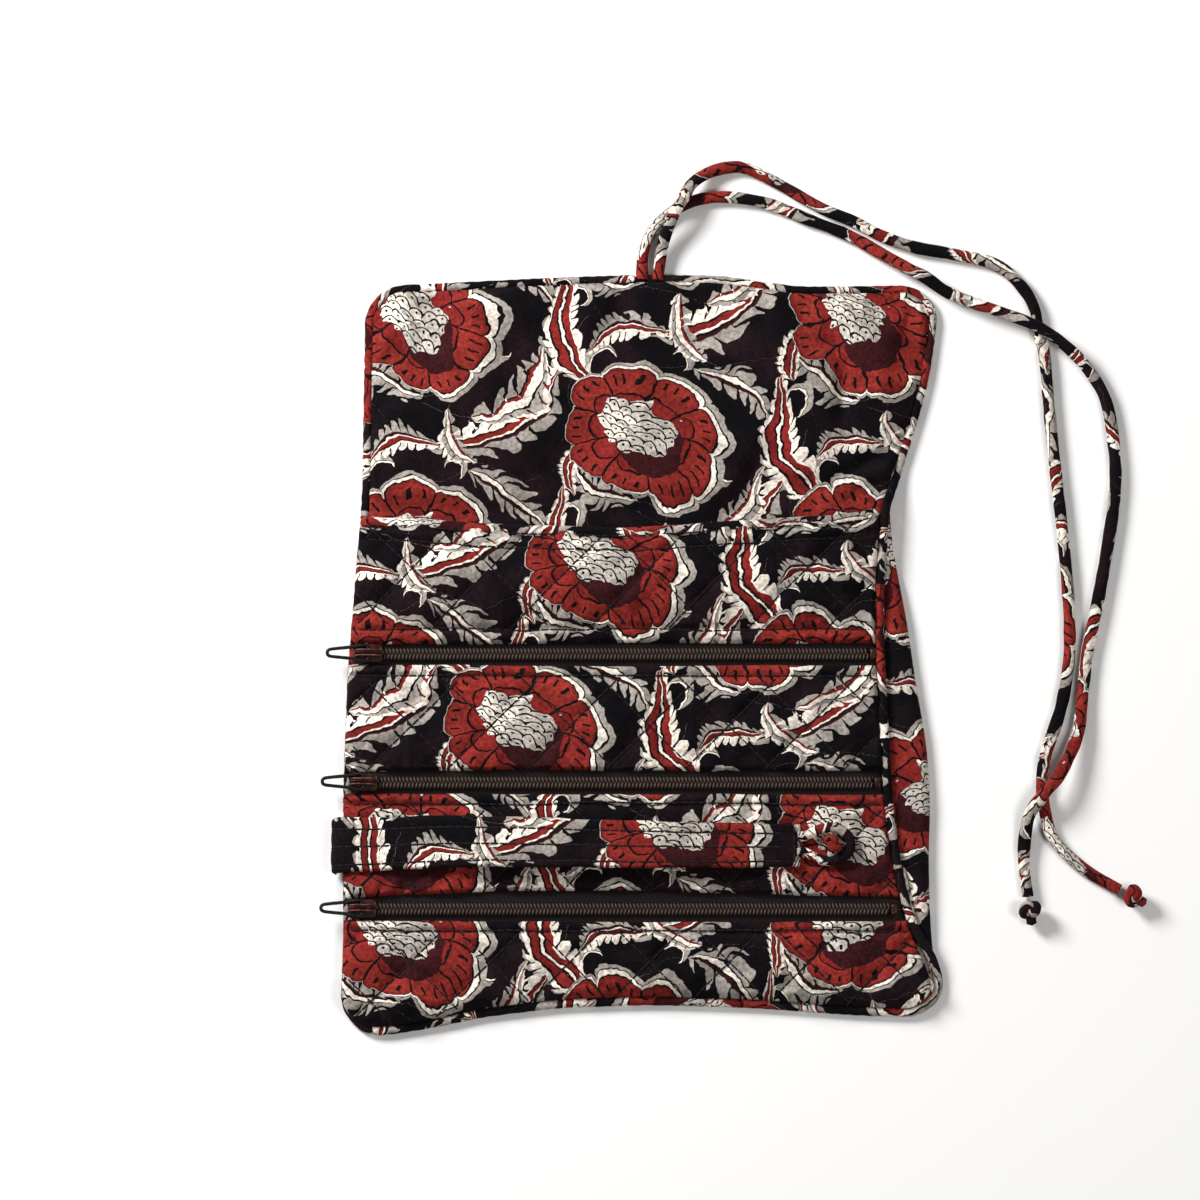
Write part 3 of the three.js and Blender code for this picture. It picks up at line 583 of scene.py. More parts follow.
def ease(low, high, at):
    t = np.clip((np.asarray(at, float) - low) / (high - low), 0, 1)
    return t * t * (3 - 2 * t)


def roundOff(inside, radius):
    t = 1 - np.clip(np.asarray(inside, float) / radius, 0, 1)
    return np.sqrt(np.clip(1 - t * t, 0, 1))


# soft ripples of cloth: a few waves about size mm long in seeded directions
def ripple(x, y, size, seed, waves=7):
    dice = np.random.RandomState(seed)
    total = np.zeros(np.broadcast(x, y).shape)
    for _ in range(waves):
        heading, phase = dice.uniform(0, 2 * math.pi, 2)
        length = size * dice.uniform(0.7, 1.6)
        way = (x * math.cos(heading) + y * math.sin(heading)) * 2 * math.pi / length
        total += np.sin(way + phase + 1.3 * np.sin(way * 0.37 + phase * 2))
    return total / math.sqrt(waves)


# shares from 0 to 1, closer together at both ends
def closeEnds(count, share):
    t = np.linspace(0, 1, count)
    return t - share * np.sin(2 * math.pi * t) / (2 * math.pi)


# one object from parts, each with its points, quads, print places at their corners and material slot
def addMesh(name, parts, materials):
    starts = np.cumsum([0] + [len(part["points"]) for part in parts])
    points = np.concatenate([part["points"] for part in parts]) * mm
    quads = np.concatenate([part["quads"] + start for part, start in zip(parts, starts)])
    corners = np.concatenate([part["corners"] for part in parts]) * mm
    slots = np.concatenate([np.full(len(part["quads"]), part["slot"]) for part in parts])
    mesh = bpy.data.meshes.new(name)
    mesh.from_pydata(points.tolist(), [], quads.tolist())
    layer = mesh.uv_layers.new(name="cloth")
    layer.data.foreach_set("uv", corners.ravel().astype(np.float32))
    mesh.polygons.foreach_set("material_index", slots.astype(np.int32))
    mesh.polygons.foreach_set("use_smooth", np.ones(len(quads), bool))
    for material in materials:
        mesh.materials.append(material)
    mesh.update()
    piece = bpy.data.objects.new(name, mesh)
    scene.collection.objects.link(piece)
    return piece


# hides the nodes that a piece stands for, and puts it on the body that it rides on
def standFor(piece, nodes, body=None):
    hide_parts(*nodes)
    if body:
        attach(piece, body)


# quads of a grid of rows and columns, turned so that rows going -Y and columns +X face up
def gridQuads(index):
    around = [index[..., 1:, :-1], index[..., 1:, 1:], index[..., :-1, 1:], index[..., :-1, :-1]]
    return np.stack(around, -1).reshape(-1, 4)


# place on the printed cloth, from the middle of a flower
def printPlace(x, y, flower, turn=0.0):
    c, s = math.cos(math.radians(turn)), math.sin(math.radians(turn))
    dx, dy = x - flower[0], y - flower[1]
    return np.stack([dx * c + dy * s, dy * c - dx * s], -1)


# a pad of a top grid and a bottom grid that share their rim; an open end runs on into the next pad
def padPart(x, y, top, bottom, placeTop, placeBottom, openStart=False, openEnd=False, bottomX=None):
    index = np.arange(x.size).reshape(x.shape)
    under = x.size + index
    under[:, 0], under[:, -1] = index[:, 0], index[:, -1]
    for row, isOpen in ((0, openStart), (-1, openEnd)):
        if not isOpen:
            under[row] = index[row]
    grid = gridQuads(index)
    quads = np.concatenate([grid, gridQuads(under)[:, ::-1]])
    corners = np.concatenate([placeTop.reshape(-1, 2)[grid], placeBottom.reshape(-1, 2)[grid[:, ::-1]]])
    sides = ((x, y, top), (x if bottomX is None else bottomX, y, bottom))
    points = np.concatenate([np.stack(side, -1).reshape(-1, 3) for side in sides])
    used = np.unique(quads)
    order = np.full(len(points), -1)
    order[used] = np.arange(len(used))
    return {"points": points[used], "quads": order[quads], "corners": corners, "slot": 0}


def lengthAlong(path):
    return np.concatenate([[0], np.cumsum(np.linalg.norm(np.diff(path, axis=0), axis=1))])


# points or directions at some lengths along a path
def atLengths(spots, run, path):
    return np.stack([np.interp(spots, run, column) for column in path.T], -1)


def evenPath(path, step):
    run = lengthAlong(path)
    return atLengths(np.linspace(0, run[-1], max(3, int(run[-1] / step) + 1)), run, path)


# directions along a path, one unit long
def headings(ahead):
    return ahead / np.linalg.norm(ahead, axis=1)[:, None]


def between(a, b, low, high, t):
    return (high - t) / (high - low) * a + (t - low) / (high - low) * b


# a smooth path through the points, with the same spacing of knots as a slack cord takes
def cordPath(points, fine=14):
    p = np.asarray(points, float)
    p = np.vstack([2 * p[0] - p[1], p, 2 * p[-1] - p[-2]])
    made = []
    for a, b, c, d in zip(p[:-3], p[1:-2], p[2:-1], p[3:]):
        k1 = np.linalg.norm(b - a) ** 0.5
        k2 = k1 + np.linalg.norm(c - b) ** 0.5
        k3 = k2 + np.linalg.norm(d - c) ** 0.5
        t = np.linspace(k1, k2, fine, endpoint=False)[:, None]
        ab, bc, cd = between(a, b, 0, k1, t), between(b, c, k1, k2, t), between(c, d, k2, k3, t)
        abc, bcd = between(ab, bc, 0, k2, t), between(bc, cd, k1, k3, t)
        made.append(between(abc, bcd, k1, k2, t))
    return np.vstack(made + [p[-2:-1]])


# a tube along a path; wide and tall are half sizes, given once or at each point
def tubePart(path, wide, tall=None, sides=10, place=(0.0, 0.0), turn=45.0, slot=0, closed=False):
    path = np.asarray(path, float)
    count = len(path)
    wide = np.broadcast_to(wide, count).astype(float)
    tall = wide if tall is None else np.broadcast_to(tall, count).astype(float)
    if closed:
        ahead = headings(np.roll(path, -1, 0) - np.roll(path, 1, 0))
    else:
        ahead = headings(np.gradient(path, axis=0))
    over = np.zeros_like(path)
    steep = abs(ahead[0][2]) > 0.9
    up = np.array([0.0, 1.0, 0.0] if steep else [0.0, 0.0, 1.0])
    for i in range(count):  # the section turns as little as it can along the path
        up = up - ahead[i] * (up @ ahead[i])
        up /= np.linalg.norm(up)
        over[i] = up
    side = np.cross(ahead, over)
    rounds = np.linspace(0, 2 * math.pi, sides, endpoint=False)
    ring = (side[:, None] * np.cos(rounds)[None, :, None] * wide[:, None, None]
            + over[:, None] * np.sin(rounds)[None, :, None] * tall[:, None, None])
    points = (path[:, None] + ring).reshape(-1, 3)
    index = np.arange(count * sides).reshape(count, sides)
    index = np.hstack([index, index[:, :1]])
    run = lengthAlong(path)
    if closed:
        index = np.vstack([index, index[:1]])
        run = np.append(run, run[-1] + np.linalg.norm(path[0] - path[-1]))
    girth = np.linspace(0, 2 * math.pi * wide.mean(), sides + 1)
    u, v = np.meshgrid(run, girth, indexing="ij")
    spots = printPlace(u, v, (-place[0], -place[1]), turn)
    grid = gridQuads(np.arange(u.size).reshape(u.shape))
    corners = spots.reshape(-1, 2)[grid]
    return {"points": points, "quads": gridQuads(index), "corners": corners, "slot": slot}


# half sizes of a cord that closes nearly to a point over a short length at each end
def closedEnds(path, half, over=1.0, least=0.02):
    run = lengthAlong(path)
    size = np.full(len(path), float(half))
    for fromEnd in (run, run[-1] - run):
        size *= least + (1 - least) * roundOff(fromEnd, over)
    return size


# an overhand knot pulled tight, with the cut end standing out of it
def knotPart(centre, heading, size, half, place, tail=0.0):
    t = np.linspace(0, 2 * math.pi, 90, endpoint=False)
    across, up = np.sin(t) + 2 * np.sin(2 * t), np.cos(t) - 2 * np.cos(2 * t)
    loop = np.stack([across, up, -1.15 * np.sin(3 * t)], -1) * (size / 6.0)  # six across as it is drawn
    c, s = math.cos(heading), math.sin(heading)
    lean = np.stack([loop[:, 2] * 1.25, loop[:, 0], loop[:, 1]], -1)
    turned = np.stack([lean[:, 0] * c - lean[:, 1] * s, lean[:, 0] * s + lean[:, 1] * c, lean[:, 2]], -1)
    parts = [tubePart(turned + np.asarray(centre), half, place=place, closed=True)]
    if tail:
        stub = np.asarray(centre) + np.linspace(0, tail, 9)[:, None] * np.array([c, s, -0.12])
        parts.append(tubePart(stub, closedEnds(stub, half * 0.95, 0.8), place=place))
    return parts


# the two ties: rouleau tubes of printed cotton sewn into the tied edge, and a knot on each
ties = {
    "diameter": 4.0,
    "full": 1.02,
    "flat": 0.9,
    "wrinkle": (0.1, 0.08),  # how far wrinkles go sideways and up
    "wrinkleStep": 3.0,
    "wrinkleSoft": 5,
    "pathStep": 0.8,
    "sides": 14,
    "lowest": (0.05, 0.1),  # room left under the cord and under the knot
    "printTurn": 38.0,
    "knotSize": 4.6,
    "knotCord": 1.75,
    "tail": 5.2,
    "leftLength": 368.6,
    "rightLength": 375.4,
    "left": [
        (0.7, 127.3, 2.1), (1.3, 137.2, 2.1), (4, 144, 2.1), (13.5, 152.4, 2.1), (24, 155.6, 2.1),
        (40, 154.2, 2.1), (57, 147.8, 2.1), (70.3, 142.3, 2.4), (80, 136.5, 3.2), (88.5, 131.2, 4.8),
        (95, 127.6, 5.8), (102, 122.8, 5), (110, 119.2, 5.2), (121, 115.2, 6.2), (133.2, 110, 6.7),
        (143.5, 102.6, 5.4), (151, 94.3, 3), (155.6, 85.1, 2.1), (158.2, 63, 2.1), (157.5, 51.4, 2.1),
        (155.8, 39.8, 2.1), (151.5, 16.7, 2.1), (148, 0.7, 2.1), (146.4, -13, 2.1), (144.4, -26.9, 3.4),
        (138.2, -40.5, 6), (133.6, -46.4, 6.7), (128.6, -53, 5), (126.9, -60, 2.8), (126.4, -70, 2.1),
        (127.6, -80.4, 2.1)],
    "right": [
        (6, 127.3, 2.1), (7.7, 138.9, 3.8), (11.7, 149.5, 6.7), (14.7, 154.6, 6.7), (17.5, 159.5, 5.4),
        (23, 163.8, 3), (29.3, 165.8, 2.1), (34.6, 165.8, 2.1), (44.3, 161.4, 2.1), (61.8, 151.4, 2.1),
        (71, 147.6, 2.1), (80.9, 142.4, 2.1), (91.6, 138.6, 2.1), (104.2, 136.2, 2.1), (119.9, 132.1, 2.1),
        (128.9, 123.3, 2.1), (131.9, 117.1, 2.1), (132.9, 111, 2.1), (134.9, 102.2, 2.1), (136.2, 85.1, 2.1),
        (138.2, 63, 2.1), (140.5, 39.8, 2.1), (142.2, 15.3, 2.1), (142, -1.7, 2.1), (139.2, -17.4, 2.1),
        (134.2, -32.7, 2.1), (132.6, -42, 2.1), (133.5, -52.1, 2.1), (136, -60.9, 2.1), (145.5, -70.8, 2.1),
        (157.8, -78.3, 2.1)],
}


def makeTie(side, seed):
    path = evenPath(cordPath(ties[side]), ties["pathStep"])
    run = lengthAlong(path)
    dice = np.random.RandomState(seed)
    step, soft = ties["wrinkleStep"], ties["wrinkleSoft"]
    spots = np.arange(0, run[-1] + 3 * step, step)
    wrinkle = np.interp(run, spots, dice.uniform(-1, 1, int(run[-1] / step) + 4))
    wrinkle = np.convolve(np.pad(wrinkle, soft // 2, mode="edge"), np.ones(soft) / soft, "valid")
    wide = ties["diameter"] / 2 * (ties["full"] + ties["wrinkle"][0] * wrinkle)
    tall = ties["diameter"] / 2 * (ties["flat"] - ties["wrinkle"][1] * wrinkle)
    node, name = "tie_" + side, "tie" + side.capitalize()
    place = (17.0 + 41 * seed, 9.0 * seed)  # each tie was cut from its own strip
    tube = tubePart(path, wide, tall, ties["sides"], place=place, turn=ties["printTurn"])
    tube["points"][:, 2] = np.maximum(tube["points"][:, 2], ties["lowest"][0])
    tie = addMesh(name, [tube], [printedCotton])
    heading = math.atan2(*(path[-1] - path[-6])[[1, 0]])
    middle = (np.array(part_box(node + "_knot")) / mm).mean(0)
    parts = knotPart(middle, heading, ties["knotSize"], ties["knotCord"], (30.0 * seed, 12.0), ties["tail"])
    lowest = min(part["points"][:, 2].min() for part in parts)
    for part in parts:
        part["points"][:, 2] += max(0.0, ties["lowest"][1] - lowest)
    knot = addMesh(name + "Knot", parts, [printedCotton])
    standFor(tie, [node], "flap")
    standFor(knot, [node + "_knot"], "flap")


makeTie("left", 1)
makeTie("right", 2)
print("ties made")

# floor and light: plain white sweep, soft light from all sides and a little more from the upper left
studio = {
    "floor": ("#f3f2f0", "#f4f3f1"),
    "grain": 40.0,
    "floorSize": 8000.0,
    "below": 0.05,
    "whiteFrom": 240.0,
    "whiteAt": 520.0,
    "skyStrength": 0.14,
    "keyPower": 19.5,
    "keySize": 440.0,
    "lamps": [((-730, 560, 660), 1.0), ((600, -300, 1000), 0.24)],  # place, share of the power
}


# 1 on rays that come from the eye, straight or by way of gloss or glass
def seenRay(tree):
    ray = addNode(tree, "LightPath").node.outputs
    seen = addNode(tree, "Math", ray["Is Camera Ray"], ray["Is Glossy Ray"], operation="MAXIMUM")
    return addNode(tree, "Math", seen, ray["Is Transmission Ray"], operation="MAXIMUM")


def makeFloor():
    # painted board: matt white, and pure white to the eye further out
    material, tree = startMaterial("paintedFloor")
    where = addNode(tree, "TexCoord", out=3)
    grain = addNode(tree, "TexNoise", where, None, 1 / (studio["grain"] * mm), 2.0)
    tone = addNode(tree, "MixRGB", grain, *[linear(tone) for tone in studio["floor"]])
    shader = addNode(tree, "BsdfPrincipled", named={"Base Color": tone, "Roughness": 0.9})
    reach = addNode(tree, "VectorMath", where, operation="LENGTH", out=1)
    far = addNode(tree, "MapRange", reach, studio["whiteFrom"] * mm, studio["whiteAt"] * mm, 0.0, 1.0,
                  interpolation_type="SMOOTHSTEP")
    far = addNode(tree, "Math", far, seenRay(tree), operation="MULTIPLY")
    white = addNode(tree, "Emission", linear("#ffffff"), 1.0)
    addNode(tree, "OutputMaterial", addNode(tree, "MixShader", far, shader, white))
    side = studio["floorSize"] * mm / 2
    mesh = bpy.data.meshes.new("floor")
    points = [(-side, -side, 0), (side, -side, 0), (side, side, 0), (-side, side, 0)]
    mesh.from_pydata(points, [], [(0, 1, 2, 3)])
    mesh.materials.append(material)
    floor = bpy.data.objects.new("floor", mesh)
    floor.location.z = -studio["below"] * mm
    scene.collection.objects.link(floor)


def makeLight():
    sky = bpy.data.worlds.new("softRoom")
    sky.use_nodes = True
    tree = sky.node_tree
    tree.nodes.clear()
    lit = addNode(tree, "Background", linear("#ffffff"), studio["skyStrength"])
    white = addNode(tree, "Background", linear("#ffffff"), 1.0)
    addNode(tree, "OutputWorld", addNode(tree, "MixShader", seenRay(tree), lit, white))
    scene.world = sky
    for place, share in studio["lamps"]:
        lamp = bpy.data.lights.new("softBox", "AREA")
        lamp.shape = "DISK"
        lamp.size = studio["keySize"] * mm
        lamp.energy = studio["keyPower"] * share
        holder = bpy.data.objects.new("softBox", lamp)
        holder.location = Vector(place) * mm
        holder.rotation_euler = Vector(place).to_track_quat("Z", "Y").to_euler()
        scene.collection.objects.link(holder)


makeFloor()
makeLight()
print("studio made")

# outline of the sewn cloth, without its piping, as (y, x) or (x, y) pairs, and its heights
cloth = {
    "top": 124.3,
    "bottom": -124.3,
    "left": [(127, -89.3), (54, -90.0), (-7, -94.6), (-50, -95.8), (-92, -95.4), (-127, -96.4)],
    "right": [(127, 97.8), (119, 97.6), (94, 94.1), (77, 89.4), (63, 84.8), (54, 82.8), (43, 83.2),
              (32, 84.6), (12, 88.4), (-12, 91.6), (-29, 94.6), (-49, 95.8), (-66, 95.0), (-80, 95.2),
              (-93, 95.6), (-105, 96.8), (-127, 97.4)],
    "seam": [(127, 97.8), (119, 97.6), (94, 94.1), (77, 89.4), (63, 84.6), (54, 81.4), (43, 80.8),
             (19, 79.0), (5, 79.1), (-15, 79.8), (-49, 81.5), (-70, 84.0), (-87, 88.0), (-104, 94.6),
             (-112, 96.6), (-127, 97.4)],
    "topWave": [(-95, -1.6), (-73, -0.7), (-27, 1.6), (0, 2.5), (27, 2.2), (53, -1.6), (75, -1.4),
                (97, -1.0)],
    "topWaveOver": (70, 124),  # the tied edge's wave grows over this stretch of y
    "bottomWave": [(-97, 1.0), (-86, 0.0), (-66, 3.2), (-53, 6.2), (-27, 9.4), (3, 10.4), (37, 9.4),
                   (70, 7.0), (97, 6.0)],
    "bottomWaveOver": (-96, -124),
    "corner": 11.0,
    "rimHeight": 1.6,
    "rimRadius": 3.4,
    "liningHeight": 3.3,
    "hiddenLining": 2.7,
    "bulgeHeight": 1.9,
    "bulgeWidth": (1.5, 9),  # the roll rises as its strip widens over this
    "bulgeGather": (0.35, 0.3),
    "bulgeGatherShare": 0.6,
    "bulgeAbove": (50, 62),  # the rolled edge runs out over this stretch of y
    "puff": 0.95,
    "puffSoft": 3.6,
    "lowest": 0.1,
    "underRipple": 0.12,
    "underMost": 1.5,
    "rows": 250,
    "columns": 180,
    "cuts": (23.5, -28.5, -71.0),
    "folds": (54.0, -7.0, -50.0, -92.0),
    "foldReach": (7.0, 6.0),
    "flapFlower": (0.0, 73.2),
    "coverFlower": (21.0, -8.0),
    "fill": 0.5,
}
bodies = ("flap", "upper_panel", "middle_panel", "ring_panel", "lower_panel")
zips = {"at": (0.0, -43.0, -85.0), "edge": 3.1}


def leftEdge(y):
    return along(cloth["left"], y)


def rightEdge(y):
    return along(cloth["right"], y)


def seamLine(y):
    return along(cloth["seam"], y)


# how far the rounded corners draw a side in, at a distance from the end of the cloth
def cornerInset(fromEnd):
    r = cloth["corner"]
    short = np.clip(r - fromEnd, 0, r)
    return r - np.sqrt(r * r - short * short)


# the long waves of the tied edge and the bottom edge, fading out towards the middle
def edgeWave(x, y):
    return (along(cloth["topWave"], x) * ease(*cloth["topWaveOver"], y)
            + along(cloth["bottomWave"], x) * ease(*cloth["bottomWaveOver"], y))


# diamond quilting in lines both ways, and the small puckers along them
quilting = {
    "step": 18.5,
    "turn": 45.0,
    "origin": (3.0, 2.0),
    "puckerLong": 3.4,
    "puckerReach": 2.2,
    "puckerFrom": (0.2, 1.4),
    "puckerStray": 1.6,
}


# distance to the nearest quilting lines, one for each way of the lines
def quiltLines(x, y):
    step = quilting["step"]
    dx, dy = x - quilting["origin"][0], y - quilting["origin"][1]
    gaps = []
    for way in (math.radians(quilting["turn"]), math.radians(-quilting["turn"])):
        a = dx * math.sin(way) + dy * math.cos(way)
        gaps.append(np.abs((a + step / 2) % step - step / 2))
    return gaps


def quiltPuff(x, y, soft):
    a, b = quiltLines(x, y)
    return np.tanh(a / soft) * np.tanh(b / soft)


# small puckers that the thread draws up on both sides of each quilting line
def quiltPucker(x, y, seed):
    wander = quilting["puckerStray"] * ripple(x, y, 21, seed)
    total = np.zeros(np.shape(x))
    for gap, lean in zip(quiltLines(x, y), (1, -1)):
        way = (x - lean * y) / math.sqrt(2)
        wave = np.sin(2 * math.pi * way / quilting["puckerLong"] + lean * wander)
        total += wave * np.exp(-gap / quilting["puckerReach"]) * ease(*quilting["puckerFrom"], gap)
    return total


# the flap's lining lies loose over its filling, with swellings, ripples and creases from being rolled
flapLining = {
    "from": (46, 56),  # it shows above this stretch of y
    "rise": 0.5,
    # swellings, as in the solid: across from the middle, up from the crease, half widths, height
    "swells": [(-62, 42, 26, 18, 2.6), (-6, 38, 30, 20, 3.0), (44, 46, 17, 18, 2.4), (76, 44, 12, 16, 2.2),
               (30, 16, 34, 9, 1.4), (-46, 17, 30, 9, 1.4)],
    "swellEdge": 14,
    "ripples": [(0.3, 44, 3), (0.42, 19, 5)],  # height, length, seed
    # creases: start, end, half width, depth
    "creases": [(68, 98, 67, 78, 2.2, -1.8), (61, 100, 60, 76, 3.4, 0.7), (84, 64, 60, 52, 2.6, 1.9),
                (86, 70, 66, 60, 2.4, -1.7), (-70, 66, -20, 57, 3.4, 0.8), (-20, 60, 40, 57, 4.0, 0.9),
                (-60, 108, -40, 90, 5.0, 0.8), (20, 118, 30, 96, 4.6, -0.7), (44, 119, 50, 100, 3.2, 0.9),
                (-84, 100, -60, 84, 4.0, -0.8)],
    "pucker": 0.42,  # along the piping
    "puckerReach": 4.5,
    "puckerStray": 1.5,
    "looseTo": 38,
    "heldRim": 0.8,
    "heldCrease": (-0.45, 0.6),  # a crease this deep is held by this much
    "slack": 0.05,
    "pressure": 0.3,
}


def flapSwell(x, y, middle, inside):
    rise = 0
    for across, up, wide, tall, height in flapLining["swells"]:
        dx, dy = (x - middle - across) / wide, (y - cloth["folds"][0] - up) / tall
        rise = rise + height * np.exp(-dx ** 2 - dy ** 2)
    return rise * ease(0, flapLining["swellEdge"], inside)


def creaseHeight(x, y):
    total = np.zeros(np.shape(x))
    for x0, y0, x1, y1, half, depth in flapLining["creases"]:
        wayX, wayY = x1 - x0, y1 - y0
        t = ((x - x0) * wayX + (y - y0) * wayY) / np.linalg.norm([wayX, wayY]) ** 2
        near = np.clip(t, 0, 1)
        gap = np.hypot(x - x0 - near * wayX, y - y0 - near * wayY)
        fade = np.sin(math.pi * np.clip(0.12 + 0.76 * t, 0, 1))  # it runs out at both ends
        total += depth * np.exp(-(gap / half) ** 2) * fade
    return total


# cloth that settles: an enlarged copy, longer than its seams, held by them and filled from below
settle = {"scale": 20.0, "frames": 20, "step": 3, "stiff": 0.4, "damping": 3.0, "cap": 2.0, "sink": 0.6}


def settleCloth(name, x, y, z, held, slack, pressure):
    down, across = [np.linspace(0, n - 1, n // settle["step"]).round().astype(int) for n in x.shape]
    pick = np.ix_(down, across)
    grow = mm * settle["scale"]
    points = np.stack([x[pick], y[pick], z[pick]], -1).reshape(-1, 3) * grow
    mesh = bpy.data.meshes.new(name)
    quads = gridQuads(np.arange(len(points)).reshape(x[pick].shape))
    mesh.from_pydata(points.tolist(), [], quads.tolist())
    piece = bpy.data.objects.new(name, mesh)
    scene.collection.objects.link(piece)
    seams = piece.vertex_groups.new(name="seams")
    for number, weight in enumerate(held[pick].ravel()):
        seams.add([number], float(weight), "REPLACE")
    fabric = piece.modifiers.new("settling", "CLOTH").settings
    fabric.vertex_group_mass = "seams"
    fabric.use_pressure = True
    fabric.uniform_pressure_force = pressure
    fabric.effector_weights.gravity = 0
    fabric.shrink_min = -slack
    fabric.bending_stiffness = settle["stiff"]
    fabric.air_damping = settle["damping"]
    for number in range(1, settle["frames"] + 1):
        scene.frame_set(number)
    settled = piece.evaluated_get(bpy.context.evaluated_depsgraph_get()).to_mesh()
    made = np.empty(len(points) * 3, np.float32)
    settled.vertices.foreach_get("co", made)
    lift = ((made.reshape(-1, 3) - points)[:, 2] / grow).reshape(x[pick].shape)
    bpy.data.objects.remove(piece)
    bpy.data.meshes.remove(mesh)
    scene.frame_set(1)
    lift = np.stack([np.interp(np.arange(x.shape[1]), across, row) for row in lift])
    lift = np.stack([np.interp(np.arange(x.shape[0]), down, column) for column in lift.T], -1)
    soft = np.ones(settle["step"]) / settle["step"]
    for axis in (0, 1):
        lift = np.apply_along_axis(
            lambda line: np.convolve(np.pad(line, 1, mode="edge"), soft, "valid"), axis, lift)
    print("settled", name, "from", round(float(lift.min()), 2), "to", round(float(lift.max()), 2), "mm")
    cap, sink = settle["cap"], settle["sink"]
    return np.where(lift > 0, cap * np.tanh(lift / cap), sink * np.tanh(lift / sink))


# bakes a piece's place into its mesh
def bendAtFold(piece):
    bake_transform(piece)


# sewing stitches along paths on a surface: each is a short thread that dives in at both ends
stitch = {
    "long": 2.9,
    "gap": 0.12,
    "half": 0.3,
    "rise": 0.12,
    "shares": (0.0, 0.1, 0.9, 1.0),
    "sizes": (0.3, 1.0, 1.0, 0.3),
    "lifts": (-1.6, 1.0, 1.0, -1.6),
}


def stitchPart(paths):
    rings = []
    long, step = stitch["long"], stitch["long"] + stitch["gap"]
    sizes = (np.array(stitch["sizes"]) * stitch["half"])[None, :, None]
    lifts = (np.array(stitch["lifts"]) * stitch["rise"])[None, :, None]
    for points, normals in paths:
        run = lengthAlong(points)
        count = int(run[-1] / step)
        if count < 1:
            continue
        spots = ((np.arange(count) * step)[:, None] + np.array(stitch["shares"]) * long).ravel()
        at, up = [atLengths(spots, run, path).reshape(count, 4, 3) for path in (points, normals)]
        side = np.cross(headings(at[:, 3] - at[:, 0])[:, None], up)
        at = at + up * lifts
        ring = [at + side * sizes * a + up * sizes * b for a, b in ((1, 0), (0, 1), (-1, 0), (0, -1))]
        rings.append(np.stack(ring, 2))
    if not rings:
        return []
    rings = np.concatenate(rings)
    index = np.arange(len(rings) * 16).reshape(len(rings), 4, 4)
    quads = gridQuads(np.concatenate([index, index[:, :, :1]], 2))
    corners = np.zeros((len(quads), 4, 2))
    return [{"points": rings.reshape(-1, 3), "quads": quads, "corners": corners, "slot": 1}]


def surfaceTree(points, quads):
    return BVHTree.FromPolygons(points.tolist(), quads.tolist())


# lays a flat line on a surface from above or below, and keeps the stretches that land on it
def layLine(tree, points, above=True, far=60.0, fewest=4):
    way = Vector((0, 0, -1.0 if above else 1.0))
    runs = [[]]
    for x, y in points:
        hit, normal, _, _ = tree.ray_cast(Vector((x, y, far if above else -far)), way)
        if hit is None:
            runs.append([])
        else:
            runs[-1].append((tuple(hit), tuple(normal if normal.z * way.z < 0 else -normal)))
    return [tuple(np.array(side) for side in zip(*run)) for run in runs if len(run) >= fewest]


def quiltPaths(tree, low, high, above=True, spacing=1.1, fewest=5):
    low, high, origin = np.array(low), np.array(high), np.array(quilting["origin"])
    step, reach = quilting["step"], np.linalg.norm(high - low)
    middle = (low + high) / 2
    paths = []
    for a in (math.radians(quilting["turn"]), math.radians(-quilting["turn"])):
        normal, ahead = np.array([math.sin(a), math.cos(a)]), np.array([math.cos(a), -math.sin(a)])
        first = round((middle - origin) @ normal / step)
        for k in range(int(-reach / step) - 1, int(reach / step) + 2):
            start = origin + normal * (first + k) * step
            start = start + ahead * ((middle - start) @ ahead)
            line = start[None] + ahead[None] * np.arange(-reach / 2, reach / 2, spacing)[:, None]
            inside = ((line >= low) & (line <= high)).all(1)
            if inside.sum() >= fewest:
                paths += layLine(tree, line[inside], above)
    return paths


# height of the lining: loose on the flap, flat where the pockets hide it
def liningHeights(x, y, y0, left, right, ends, sides):
    made = flapLining
    gap = np.minimum(sides, ends)
    onFlap = ease(*made["from"], y0)
    flat = cloth["hiddenLining"] + (cloth["liningHeight"] - cloth["hiddenLining"]) * onFlap
    wave = flapSwell(x, y, (left + right) / 2, np.minimum(gap, y - cloth["folds"][0]))
    for height, long, seed in made["ripples"]:
        wave = wave + height * ripple(x, y, long, seed)
    wave = wave + creaseHeight(x, y)
    pucker = 0
    for way, long, seed, inside in ((x, 1.15, 8, ends), (y, 1.2, 9, sides)):
        wander = made["puckerStray"] * ripple(x, y, 20, seed)
        fades = np.exp(-inside / made["puckerReach"])
        pucker = pucker + made["pucker"] * np.sin(way / long + wander) * fades
    free = slice(0, int(np.argmin(np.abs(y0[:, 0] - made["looseTo"]))))
    held = (gap[free] < made["heldRim"]).astype(float)
    held[-1] = 1.0
    deep, hold = made["heldCrease"]
    held = np.maximum(held, (creaseHeight(x[free], y[free]) < deep) * hold)
    loose = np.zeros(x.shape)
    loose[free] = settleCloth("flapLining", x[free], y[free], (flat + wave)[free], held, made["slack"],
                              made["pressure"])
    return flat + onFlap * (wave + pucker + loose + made["rise"])


